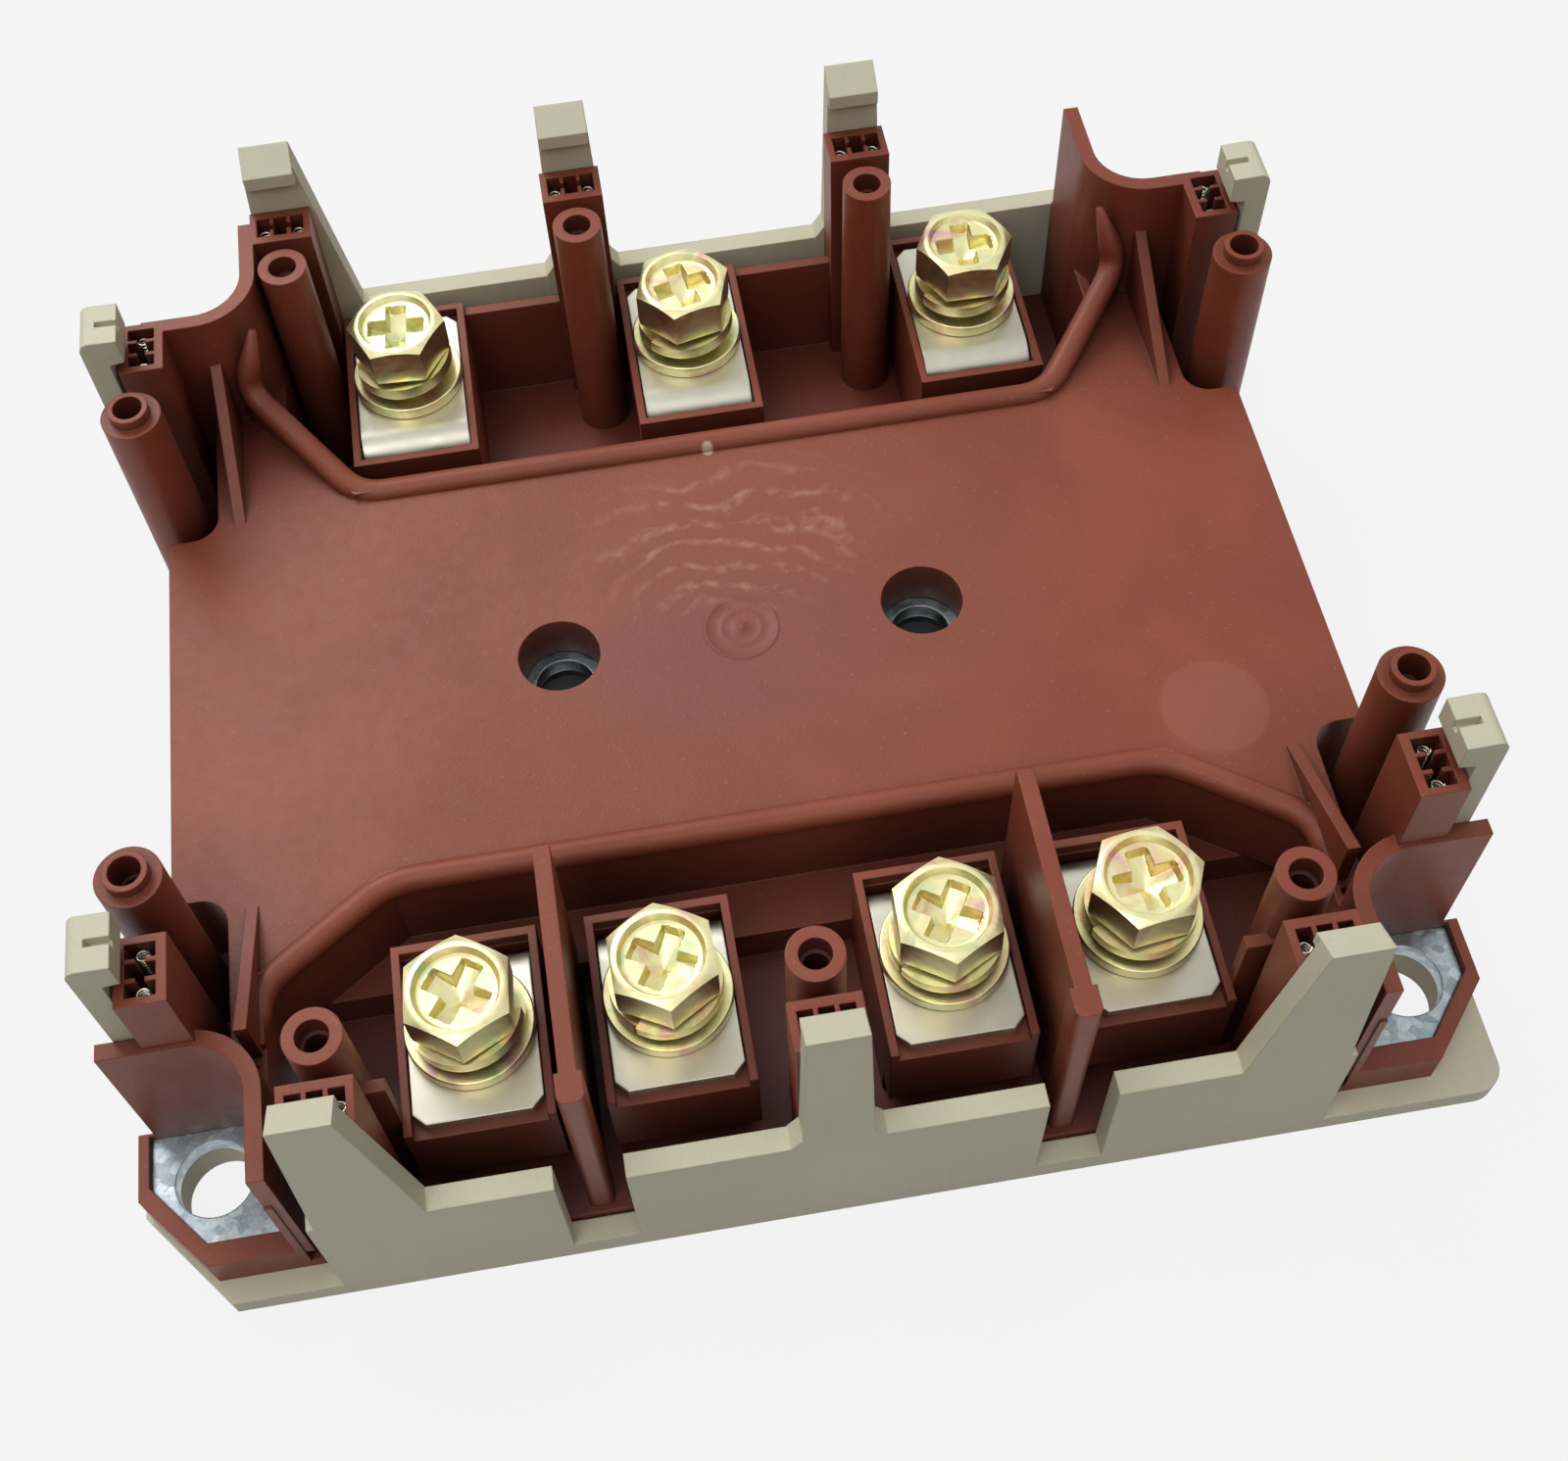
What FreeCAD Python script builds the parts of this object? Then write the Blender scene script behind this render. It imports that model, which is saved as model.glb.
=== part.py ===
"""Power semiconductor module with three AC and four DC screw terminals.

Millimetres, +Z up, X to the right and Y to the back. The origin is the middle of the flat underside.
Every driving size is a cell of the spreadsheet, and each sub-part is a body bound to those cells.
"""
import FreeCAD, Part
import math
import os
import re

import Sketcher

doc = FreeCAD.newDocument("power_module")
sheet = doc.addObject("Spreadsheet::Sheet", "size")

# Driving sizes: name, millimetres, meaning
SIZES = (
    ("base_x", 70.5, "half width of the tray at its corners"),
    ("base_y", 59.5, "half depth of the tray"),
    ("waist_x", 66.5, "half width of the tray between its corners"),
    ("waist_y", 42.0, "half length of the narrow stretch of the tray"),
    ("cut_x", 8.6, "corner chamfer of the tray along X"),
    ("cut_y", 10.4, "corner chamfer of the tray along Y"),
    ("nose_round", 3.0, "rounding of the one tray corner without a chamfer"),
    ("floor_thick", 2.5, "floor of the tray"),
    ("wall_thick", 2.4, "front and back wall of the tray"),
    ("wall_top", 20.0, "height of the tray's front and back wall"),
    ("wall_x", 50.6, "half length of the tray's walls"),
    ("arm_top", 44.7, "height of the snap arms"),
    ("side_arm_top", 42.3, "height of the side snap arms"),
    ("arm_width", 5.7, "width of a snap arm at its top"),
    ("side_arm_y", 37.6, "side snap arms from the middle along Y"),
    ("arm_thick", 2.5, "thickness of a snap arm"),
    ("arm_foot", 3.6, "how far an arm widens at the wall"),
    ("arm_root", 6.0, "height at which an end arm reaches the end of its wall"),
    ("hook_height", 3.6, "height of the lip at an arm's top"),
    ("hook_reach", 0.9, "how far the lip overhangs inwards"),
    ("side_hook", 4.2, "depth of a side arm's head"),
    ("hook_groove", 0.8, "width of the groove in a side arm's head"),
    ("groove_depth", 1.3, "depth of that groove"),
    ("notch_low", 3.0, "bottom of the wall notches that take the partitions"),
    ("notch_half", 3.4, "half width of a wall notch"),
    ("fit_gap", 0.15, "moulding clearance between the housing parts"),
    ("plate_thick", 2.0, "steel of the pressure plate"),
    ("plate_rise", 12.5, "underside of the plate's raised field"),
    ("ear_low", 4.4, "underside of the plate's ears and flanges"),
    ("plate_x", 68.8, "half width of the plate at its ears"),
    ("plate_y", 54.5, "half depth of the plate at its ears"),
    ("plate_web", 59.5, "half width of the raised field"),
    ("plate_field", 22.5, "half depth of the raised field"),
    ("plate_flange", 63.6, "half width of the plate's low side flanges"),
    ("bend_in", 1.0, "inner radius of the plate's bends"),
    ("bend_out", 2.0, "outer radius of its upper bends"),
    ("plate_cut_x", 5.7, "ear chamfer along X"),
    ("plate_cut_y", 6.7, "ear chamfer along Y"),
    ("ear_front_x", 51.6, "inner end of the ears"),
    ("ear_y", 36.0, "where the ears begin"),
    ("fix_x", 62.4, "mounting hole from the middle along X"),
    ("fix_y", 47.6, "mounting hole from the middle along Y"),
    ("fix_r", 4.0, "mounting hole radius"),
    ("rim_x", 69.9, "half width of the housing's corner rims"),
    ("rim_y", 56.9, "half depth of the housing"),
    ("rim_top", 7.4, "height of the corner rims"),
    ("lid_x", 62.7, "half width of the lid"),
    ("lid_top", 20.5, "height of the lid"),
    ("lid_thick", 2.0, "wall of the lid"),
    ("edge_front", 25.2, "lid edge to the middle at the front"),
    ("edge_back", 27.4, "lid edge to the middle at the back"),
    ("edge_x", 40.3, "half length of the lid's straight edges"),
    ("shoulder_x", 53.5, "half width of the terminal wells"),
    ("shoulder_y", 34.5, "where the front well reaches its full width"),
    ("shoulder_back_x", 48.6, "half width of the back well"),
    ("shoulder_back_y", 37.8, "where the back well reaches its full width"),
    ("bead_height", 1.0, "bead along the wells above the lid"),
    ("bead_width", 1.6, "width of that bead"),
    ("rib_x", 51.2, "end of the rising rib beside the back well along X"),
    ("rib_y", 41.0, "end of that rib along Y"),
    ("rib_top", 26.4, "height of that rib at its end"),
    ("trench_floor", 9.0, "floor of the trench beside the lid"),
    ("trench_y", 31.5, "trench edge to the middle"),
    ("well_floor", 4.0, "floor of the terminal wells"),
    ("cavity_x", 60.5, "half width of the inner space"),
    ("cavity_y", 23.2, "half depth of the inner space under the lid"),
    ("passage_x", 53.0, "half width of the busbar passage"),
    ("passage_y", 29.8, "half depth of the busbar passage"),
    ("passage_top", 7.4, "height of the busbar passage"),
    ("gate_x", 20.2, "lid hole from the middle"),
    ("gate_r", 4.52, "lid hole radius"),
    ("sleeve_wall", 1.8, "wall of the sleeves under the lid holes"),
    ("tie_r", 3.3, "radius of the centre screw holes below the sleeves"),
    ("post_top", 37.0, "height that the round posts carry the board at"),
    ("post_r", 3.05, "radius of a round post at its foot"),
    ("post_taper", 0.4, "draft angle of the posts in degrees"),
    ("pilot_r", 1.6, "counterbore of a post's pilot hole"),
    ("pilot_core_r", 1.25, "core of a post's pilot hole"),
    ("pilot_step", 2.5, "depth of the pilot hole's counterbore"),
    ("pilot_depth", 12.0, "depth of the pilot hole"),
    ("post_y", 47.7, "front and back posts from the middle"),
    ("post_front_x", 45.75, "outer front posts from the middle"),
    ("post_back_x", 11.0, "middle back post, left of the middle"),
    ("pitch_back", 34.0, "spacing of the AC terminals and back posts"),
    ("post_side_x", 62.2, "side posts from the middle along X"),
    ("post_side_y", 28.6, "side posts from the middle along Y"),
    ("post_side_r", 3.5, "radius of a side post at its foot"),
    ("collar_r", 2.2, "collar on a side post"),
    ("collar_height", 1.3, "height of that collar"),
    ("slot_width", 7.0, "spring post width"),
    ("slot_depth", 4.9, "spring post depth"),
    ("slot_side_x", 61.1, "side spring posts from the middle along X"),
    ("slot_side_y", 38.4, "side spring posts from the middle along Y"),
    ("lobe_pitch", 1.95, "spacing of the three lobes of a spring slot"),
    ("lobe_width", 1.5, "width of a lobe of a spring slot"),
    ("lobe_length", 2.9, "length of a lobe across the slot"),
    ("lobe_link", 0.9, "width of the slot that joins the lobes"),
    ("lobe_depth", 9.0, "depth of a spring slot"),
    ("corner_front_x", 54.3, "front corner wall from the middle along X"),
    ("corner_front_y", 42.3, "front corner wall from the middle along Y"),
    ("corner_front_top", 27.4, "height of the front corner walls"),
    ("corner_front_reach", 68.2, "outer end of the front corner walls"),
    ("low_end", 56.7, "outer end of the front corner walls"),
    ("corner_back_x", 49.9, "back corner wall from the middle along X"),
    ("corner_back_y", 42.1, "back corner wall from the middle along Y"),
    ("tall_end", 55.3, "outer end of the back corner walls"),
    ("corner_wall", 1.7, "thickness of the corner walls"),
    ("corner_round", 5.5, "rounding of the corner walls"),
    ("pit_inner", 57.0, "inner edge of the side pits"),
    ("pit_start", 23.3, "where a side pit begins"),
    ("pit_floor", 8.4, "floor of the side pits"),
    ("pit_round", 3.0, "rounding of a side pit's corner"),
    ("pit_shelf", 66.0, "outer edge of the side pits' floor"),
    ("fin_x", 54.5, "middle of the lid's fins"),
    ("fin_thick", 1.3, "thickness of a fin"),
    ("fin_start", 24.7, "where a fin rises from the lid"),
    ("fin_rise", 10.3, "height of a back fin at its corner wall"),
    ("partition_x", 23.8, "partitions from the middle"),
    ("partition_thick", 1.7, "thickness of a partition"),
    ("partition_top", 33.0, "height of a partition"),
    ("partition_start", 30.0, "inner edge of a partition"),
    ("partition_end", 56.4, "outer edge of a partition"),
    ("nose_width", 2.6, "rounded nose of a partition"),
    ("nose_length", 3.0, "length of that nose"),
    ("term_outer", 33.6, "outer DC terminals from the middle"),
    ("term_inner", 13.9, "inner DC terminals from the middle"),
    ("term_front", 41.6, "DC terminals from the middle along Y"),
    ("term_back", 44.2, "AC terminals from the middle along Y"),
    ("term_shift", 0.2, "offset of the AC row along X"),
    ("seat_height", 18.2, "height that the tabs lie at"),
    ("block_width", 14.8, "width of a terminal block"),
    ("block_end", 51.8, "outer face of the DC terminal blocks"),
    ("block_back_end", 55.2, "outer face of the AC terminal blocks"),
    ("block_lip", 0.9, "thin wall that frames a tab"),
    ("block_lip_top", 19.6, "height of that frame"),
    ("under_top", 8.5, "height of the undercut below the DC blocks"),
    ("under_depth", 3.0, "depth of that undercut"),
    ("back_wall_top", 18.6, "height of the wall behind the AC wells"),
    ("panel_top", 28.0, "height of the panels beside the outer DC blocks"),
    ("panel_y", 49.6, "middle of those panels from the middle"),
    ("panel_thick", 1.3, "thickness of those panels"),
    ("tab_width", 12.8, "width of a terminal tab"),
    ("tab_reach", 9.2, "tab beyond its screw"),
    ("tab_chamfer", 1.2, "chamfer of a tab's corners"),
    ("riser_front", 32.7, "DC riser from the middle"),
    ("riser_back", 32.9, "AC riser from the middle"),
    ("bend_r", 2.8, "inner radius of a riser's bend"),
    ("bus_thick", 1.2, "copper of the busbars"),
    ("bus_low", 3.5, "underside of the AC and minus busbars"),
    ("bus_half", 48.0, "half width of the DC busbars"),
    ("bus_front", 27.0, "front edge of the DC busbars from the middle"),
    ("bus_back", 5.0, "their back edge, in front of the middle"),
    ("film_lap", 0.5, "how far the insulation reaches past the busbars' back edge"),
    ("film_front", 29.4, "front edge of the insulation from the middle"),
    ("bus_inner", 20.0, "where the narrow strips to the terminals begin"),
    ("ac_half", 12.0, "half width of an AC busbar"),
    ("ac_near", 4.0, "front edge of an AC busbar behind the middle"),
    ("ac_far", 24.0, "back edge of its wide part"),
    ("ac_foot_x", 10.0, "feet of an AC busbar from its middle along X"),
    ("ac_foot_near", 6.0, "its front feet behind the middle"),
    ("ac_foot_far", 22.0, "its back feet behind the middle"),
    ("dc_foot_x", 9.0, "feet of a DC busbar from a substrate's middle along X"),
    ("minus_foot_y", 8.0, "feet of the minus busbar in front of the middle"),
    ("plus_foot_y", 19.0, "feet of the plus busbar in front of the middle"),
    ("chip_x", 7.0, "IGBT chips from a substrate's middle along X"),
    ("chip_y", 14.0, "IGBT chips behind the middle"),
    ("diode_x", 8.0, "diode chips from a substrate's middle along X"),
    ("diode_y", 1.0, "diode chips in front of the middle"),
    ("sensor_y", 24.0, "temperature sensor in front of the middle"),
    ("film_thick", 0.5, "insulation between the DC busbars"),
    ("foot_size", 3.0, "contact foot of a busbar"),
    ("tab_hole_r", 3.3, "screw hole in a tab"),
    ("core_pitch", 40.4, "spacing of the three substrates"),
    ("core_x", 31.8, "substrate width"),
    ("core_y", 54.0, "substrate length"),
    ("core_thick", 1.2, "substrate thickness"),
    ("ledge_lap", 1.0, "how far the tray laps over a substrate's edge"),
    ("chip_size", 11.0, "IGBT chip"),
    ("diode_size", 8.0, "diode chip"),
    ("sink", 0.1, "how far a join or cut runs past its face"),
    ("chip_thick", 0.3, "chip with its solder"),
    ("bridge_rib_x", 11.0, "half length of a rib under the bridge"),
    ("bridge_rib_near", 6.0, "front face of these ribs behind the middle"),
    ("bridge_rib_far", 12.0, "their back face"),
    ("tie_gap", 1.0, "room round the centre screws in bridge and pad"),
    ("bridge_top", 10.0, "top of the pressure bridge"),
    ("bridge_x", 55.0, "half width of bridge and pad"),
    ("bridge_y", 21.5, "half depth of bridge and pad"),
    ("screw_r", 2.95, "terminal screw shank"),
    ("screw_length", 16.0, "terminal screw under its head"),
    ("screw_tip", 0.6, "chamfer of the screw's tip"),
    ("screw_room", 1.0, "room below a screw's tip"),
    ("hex_flats", 10.0, "across flats of screw head and nut"),
    ("head_height", 4.9, "height of a screw head"),
    ("head_bevel", 2.6, "how far down the head's round chamfer reaches"),
    ("head_rim", 0.7, "raised rim of a screw head"),
    ("dish_r", 4.1, "radius of the dish inside that rim"),
    ("dish_slope", 0.5, "slope inside the rim"),
    ("cross_width", 1.9, "arm width of the cross recess"),
    ("cross_span", 6.2, "span of the cross recess"),
    ("cross_depth", 2.2, "depth of the cross recess"),
    ("washer_r", 6.5, "plain washer radius"),
    ("washer_bore", 3.3, "plain washer bore radius"),
    ("washer_thick", 1.6, "plain washer thickness"),
    ("lock_r", 5.7, "spring washer radius"),
    ("lock_bore", 3.15, "spring washer bore radius"),
    ("lock_wire", 1.6, "spring washer section height"),
    ("lock_lift", 1.7, "rise of the spring washer's open end"),
    ("nut_height", 5.0, "terminal nut height"),
    ("nut_bore", 3.0, "terminal nut bore radius"),
    ("coil_r", 0.75, "gate spring radius"),
    ("coil_drop", 1.0, "how far a gate spring ends below its slot"),
    ("sensor_r", 1.1, "temperature sensor radius"),
    ("sensor_length", 3.6, "temperature sensor length"),
)
for row, (alias, number, meaning) in enumerate(SIZES, start=1):
    sheet.set(f"A{row}", meaning)
    sheet.set(f"B{row}", str(number))
    sheet.setAlias(f"B{row}", alias)
doc.recompute()
ALIASES = {alias for alias, number, meaning in SIZES}
SIDES = (-1, 1)
PLANES = {"XY": "XY_Plane", "XZ": "XZ_Plane", "YZ": "YZ_Plane"}


def bound(text):
    """The expression with every alias addressed on the spreadsheet."""
    return re.sub(r"[a-z_]+", lambda word: f"size.{word.group()}" if word.group() in ALIASES
                  else word.group(), text)


def value(text):
    """The number that an expression of aliases has now."""
    return float(sheet.evalExpression(text))


def signed(side, text):
    """The expression on the left (-1) or right (+1) side."""
    return text if side > 0 else f"-({text})"


def new_body(name):
    body = doc.addObject("PartDesign::Body", name)
    body.Label = name
    body.AllowCompound = True
    return body


def new_sketch(body, plane, level):
    """A sketch parallel to one of the body's own planes, level millimetres along that plane's normal."""
    sketch = body.newObject("Sketcher::SketchObject", "outline")
    origin = next(item for item in body.Origin.OriginFeatures if item.Role == PLANES[plane])
    sketch.AttachmentSupport = [(origin, "")]
    sketch.MapMode = "FlatFace"
    sketch.setExpression("AttachmentOffset.Base.z", bound(level))
    return sketch


def hold_point(sketch, geometry, vertex, x, y):
    """Bind one point of a sketch to two expressions."""
    for kind, text in (("DistanceX", x), ("DistanceY", y)):
        index = sketch.addConstraint(Sketcher.Constraint(kind, -1, 1, geometry, vertex, value(text)))
        sketch.setExpression(f"Constraints[{index}]", bound(text))


def add_circle(sketch, x, y, radius):
    centre = FreeCAD.Vector(value(x), value(y), 0)
    circle = sketch.addGeometry(Part.Circle(centre, FreeCAD.Vector(0, 0, 1), value(radius)), False)
    hold_point(sketch, circle, 3, x, y)
    index = sketch.addConstraint(Sketcher.Constraint("Radius", circle, value(radius)))
    sketch.setExpression(f"Constraints[{index}]", bound(radius))


def add_outline(sketch, corners):
    """A closed outline, anticlockwise. A corner is (x, y) or (x, y, radius), all expressions."""
    count = len(corners)
    points = [FreeCAD.Vector(value(corner[0]), value(corner[1]), 0) for corner in corners]
    starts = list(points)
    ends = list(points)
    arcs = {}
    for number, corner in enumerate(corners):
        if len(corner) < 3:
            continue
        here = points[number]
        back = (points[number - 1] - here).normalize()
        ahead = (points[(number + 1) % count] - here).normalize()
        half = back.getAngle(ahead) / 2
        radius = value(corner[2])
        reach = radius / math.tan(half)
        ends[number] = here + back * reach
        starts[number] = here + ahead * reach
        centre = here + (back + ahead).normalize() * (radius / math.sin(half))
        arcs[number] = (centre, radius, back.cross(ahead).z < 0)
    lines = []
    for number in range(count):
        following = (number + 1) % count
        lines.append(sketch.addGeometry(Part.LineSegment(starts[number], ends[following]), False))
    for number, corner in enumerate(corners):
        before = lines[number - 1]
        after = lines[number]
        if number not in arcs:
            sketch.addConstraint(Sketcher.Constraint("Coincident", before, 2, after, 1))
            hold_point(sketch, after, 1, corner[0], corner[1])
            continue
        centre, radius, left = arcs[number]
        first, last = (ends[number], starts[number]) if left else (starts[number], ends[number])
        angles = [math.atan2(point.y - centre.y, point.x - centre.x) for point in (first, last)]
        circle = Part.Circle(centre, FreeCAD.Vector(0, 0, 1), radius)
        arc = sketch.addGeometry(Part.ArcOfCircle(circle, angles[0], angles[1]), False)
        corner_point = sketch.addGeometry(Part.Point(points[number]), True)
        hold_point(sketch, corner_point, 1, corner[0], corner[1])
        sketch.addConstraint([
            Sketcher.Constraint("Tangent", before, 2, arc, 1 if left else 2),
            Sketcher.Constraint("Tangent", arc, 2 if left else 1, after, 1),
            Sketcher.Constraint("PointOnObject", corner_point, 1, before),
            Sketcher.Constraint("PointOnObject", corner_point, 1, after)])
        index = sketch.addConstraint(Sketcher.Constraint("Radius", arc, radius))
        sketch.setExpression(f"Constraints[{index}]", bound(corner[2]))


def rectangle(x0, x1, y0, y1):
    return [(x0, y0), (x1, y0), (x1, y1), (x0, y1)]


def mirrored(corners):
    """The same outline on the other side of the middle plane, still anticlockwise."""
    return [(f"-({corner[0]})",) + tuple(corner[1:]) for corner in reversed(corners)]


def turned(corners):
    """The same outline turned front to back, still anticlockwise."""
    return [(corner[0], f"-({corner[1]})") + tuple(corner[2:]) for corner in reversed(corners)]


def both(corners):
    """An outline and its mirror image on the other side."""
    return [corners, mirrored(corners)]


def beside(x, half, low, high):
    """A rectangle centred on x."""
    return rectangle(f"{x} - ({half})", f"{x} + {half}", low, high)


def shape(body, kind, plane, low, high, outlines=(), circles=(), taper=None):
    """Pad or pocket outlines and circles between two levels of a plane's axis."""
    forward = {"XY": 1, "YZ": 1, "XZ": -1}[plane]
    starts_low = (kind == "Pad") == (forward > 0)
    level = low if starts_low else high
    sketch = new_sketch(body, plane, level if forward > 0 else f"-({level})")
    for corners in outlines:
        add_outline(sketch, corners)
    for x, y, radius in circles:
        add_circle(sketch, x, y, radius)
    feature = body.newObject(f"PartDesign::{kind}", kind.lower())
    feature.Profile = sketch
    feature.Refine = False
    feature.setExpression("Length", bound(f"({high}) - ({low})"))
    if taper:
        feature.setExpression("TaperAngle", bound(taper))
    return feature


def revolve(body, corners, kind="Revolution"):
    """Turn an outline of (radius, height) corners about the body's own Z axis."""
    sketch = new_sketch(body, "XZ", "0")
    add_outline(sketch, corners)
    feature = body.newObject(f"PartDesign::{kind}", kind.lower())
    feature.Profile = sketch
    feature.ReferenceAxis = (sketch, ["V_Axis"])
    feature.Angle = 360


def turn_away(body, corners):
    """Cut an outline turned about the body's own Z axis."""
    revolve(body, corners, "Groove")


def place(body, x, y, z, turn="0"):
    """Bind a body's place, and its turn about Z in degrees, to expressions."""
    for axis, text in zip("xyz", (x, y, z)):
        body.setExpression(f"Placement.Base.{axis}", bound(text))
    body.Placement.Rotation = FreeCAD.Rotation(FreeCAD.Vector(0, 0, 1), value(turn))


def hexagon(flats):
    """A hexagon about the origin, given across its flats."""
    radius = f"({flats}) / sqrt(3)"
    return [(f"({radius}) * cos({turn} deg)", f"({radius}) * sin({turn} deg)") for turn in range(0, 360, 60)]


# Places shared by several sub-parts
FRONT_POSTS = [("-post_front_x", "-post_y"), ("0", "-post_y"), ("post_front_x", "-post_y")]
BACK_POSTS = [(f"-post_back_x + {step} * pitch_back", "post_y") for step in SIDES + (0,)]
SIDE_POSTS = [(signed(side, "post_side_x"), signed(end, "post_side_y")) for side in SIDES for end in SIDES]
DC_ROW = [("-term_outer", "-term_front"), ("-term_inner", "-term_front"),
          ("term_inner", "-term_front"), ("term_outer", "-term_front")]
AC_ROW = [(f"term_shift + {step} * pitch_back", "term_back") for step in (-1, 0, 1)]
PLATE_TOP = "ear_low + plate_thick"
CLEAR = "post_top"
SLOT_FACE = "base_y - arm_thick - fit_gap"
TAB_TOP = "seat_height + bus_thick"
HEAD_SEAT = f"{TAB_TOP} + washer_thick + lock_wire + lock_lift"
LAMINATE = "bus_low + bus_thick + film_thick"


def ear_outline(grow):
    """The plate's ear at the front right, grown by a clearance."""
    return [("ear_front_x", f"-plate_y - {grow}"),
            (f"plate_x - plate_cut_x + {grow} / 2", f"-plate_y - {grow}"),
            (f"plate_x + {grow}", f"-plate_y + plate_cut_y - {grow} / 2"),
            (f"plate_x + {grow}", "-waist_y - fit_gap"),
            ("plate_flange", "-waist_y - fit_gap"), ("plate_flange", "-ear_y"), ("ear_front_x", "-ear_y")]


def four_ways(corners):
    """An outline of the front right quarter, repeated in all four quarters."""
    return [corners, mirrored(corners), turned(corners), turned(mirrored(corners))]


# Side view of a side arm at the right, its head leaning inwards over the spring post
SIDE_ARM = [("waist_x - arm_thick", "0"), ("waist_x", "0"), ("waist_x", "side_arm_top", "arm_thick / 2"),
            ("waist_x - side_hook", "side_arm_top - fit_gap"),
            ("waist_x - side_hook", "side_arm_top - hook_height + fit_gap"),
            ("waist_x - arm_thick", "side_arm_top - hook_height - fit_gap")]


def middle_arm(x):
    """Front view of a snap arm that widens a little at the wall."""
    half = "arm_width / 2"
    return [(f"{x} - {half} - arm_foot / 2", "0"), (f"{x} + {half} + arm_foot / 2", "0"),
            (f"{x} + {half} + arm_foot / 2", "wall_top"),
            (f"{x} + {half} + arm_foot / 6", "wall_top + arm_foot / 2"),
            (f"{x} + {half}", "arm_top", "arm_foot / 6"), (f"{x} - {half}", "arm_top", "arm_foot / 6"),
            (f"{x} - {half} - arm_foot / 6", "wall_top + arm_foot / 2"),
            (f"{x} - {half} - arm_foot / 2", "wall_top")]


def end_arm(x, side):
    """Front view of a snap arm at the end of a wall: slanted outside, one long diagonal inside."""
    away = f"{side} * ({x})"
    arm = [(f"{away} - arm_width / 2 - arm_foot", "0"), ("wall_x", "0"), ("wall_x", "arm_root"),
           (f"{away} + arm_width / 2", "arm_top", "arm_foot / 6"),
           (f"{away} - arm_width / 2", "arm_top", "arm_foot / 6"),
           (f"{away} - arm_width / 2 - arm_foot", "wall_top")]
    return arm if side > 0 else mirrored(arm)


def make_base_tray():
    """Moulded tray: floor with three windows, front and back wall, and ten snap arms."""
    body = new_body("base_tray")
    outline = [
        ("-base_x + cut_x", "-base_y"), ("base_x", "-base_y", "nose_round"), ("base_x", "-waist_y"),
        ("waist_x", "-waist_y"), ("waist_x", "waist_y"), ("base_x", "waist_y"), ("base_x", "base_y - cut_y"),
        ("base_x - cut_x", "base_y"), ("-base_x + cut_x", "base_y"), ("-base_x", "base_y - cut_y"),
        ("-base_x", "waist_y"), ("-waist_x", "waist_y"), ("-waist_x", "-waist_y"), ("-base_x", "-waist_y"),
        ("-base_x", "-base_y + cut_y")]
    shape(body, "Pad", "XY", "0", "floor_thick", [outline])
    shape(body, "Pad", "XY", "0", "ear_low", four_ways(ear_outline("0")))
    ledge = rectangle("plate_web - plate_thick", "plate_flange", "-ear_y", "ear_y")
    shape(body, "Pad", "XY", "0", "ear_low", both(ledge))
    walls = [rectangle("-wall_x", "wall_x", "-base_y", "-base_y + wall_thick"),
             rectangle("-wall_x", "wall_x", "base_y - wall_thick", "base_y")]
    shape(body, "Pad", "XY", "0", "wall_top", walls)
    for end, places, ends in ((-1, FRONT_POSTS, (-1, 0, 1)), (1, BACK_POSTS, (-1, 0, 0))):
        low, high = ("-base_y", "-base_y + arm_thick") if end < 0 else ("base_y - arm_thick", "base_y")
        arms = [end_arm(x, side) if side else middle_arm(x) for (x, y), side in zip(places, ends)]
        shape(body, "Pad", "XZ", low, high, arms)
        low, high = (low, f"{high} + hook_reach") if end < 0 else (f"{low} - hook_reach", high)
        heads = [beside(x, "arm_width / 2", "arm_top - hook_height", "arm_top") for x, y in places]
        shape(body, "Pad", "XZ", low, high, heads)
    for end in SIDES:
        middle = signed(end, "side_arm_y")
        shape(body, "Pad", "XZ", f"{middle} - arm_width / 2", f"{middle} + arm_width / 2", both(SIDE_ARM))
        shape(body, "Pocket", "XZ", f"{middle} - hook_groove / 2", f"{middle} + hook_groove / 2",
              both(rectangle("waist_x - side_hook", "waist_x - arm_thick + groove_depth / 2",
                             "side_arm_top - groove_depth", "side_arm_top")))
    notches = [rectangle(f"{signed(side, 'partition_x')} - notch_half",
                         f"{signed(side, 'partition_x')} + notch_half", "notch_low", "wall_top")
               for side in SIDES]
    shape(body, "Pocket", "XZ", "-base_y", "-base_y + wall_thick", notches)
    seats = []
    windows = []
    for step in (-1, 0, 1):
        middle = f"{step} * core_pitch"
        seats.append(rectangle(f"{middle} - core_x / 2 - fit_gap", f"{middle} + core_x / 2 + fit_gap",
                               "-core_y / 2 - fit_gap", "core_y / 2 + fit_gap"))
        windows.append(rectangle(f"{middle} - core_x / 2 + ledge_lap", f"{middle} + core_x / 2 - ledge_lap",
                                 "-core_y / 2 + ledge_lap", "core_y / 2 - ledge_lap"))
    shape(body, "Pocket", "XY", "0", "core_thick", seats)
    shape(body, "Pocket", "XY", "0", "floor_thick", windows)
    holes = [(signed(side, "fix_x"), signed(end, "fix_y"), "fix_r + fit_gap") for side in SIDES for end in SIDES]
    holes += [(signed(side, "gate_x"), "0", "tie_r") for side in SIDES]
    shape(body, "Pocket", "XY", "0", "ear_low", circles=holes)
    return body


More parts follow.
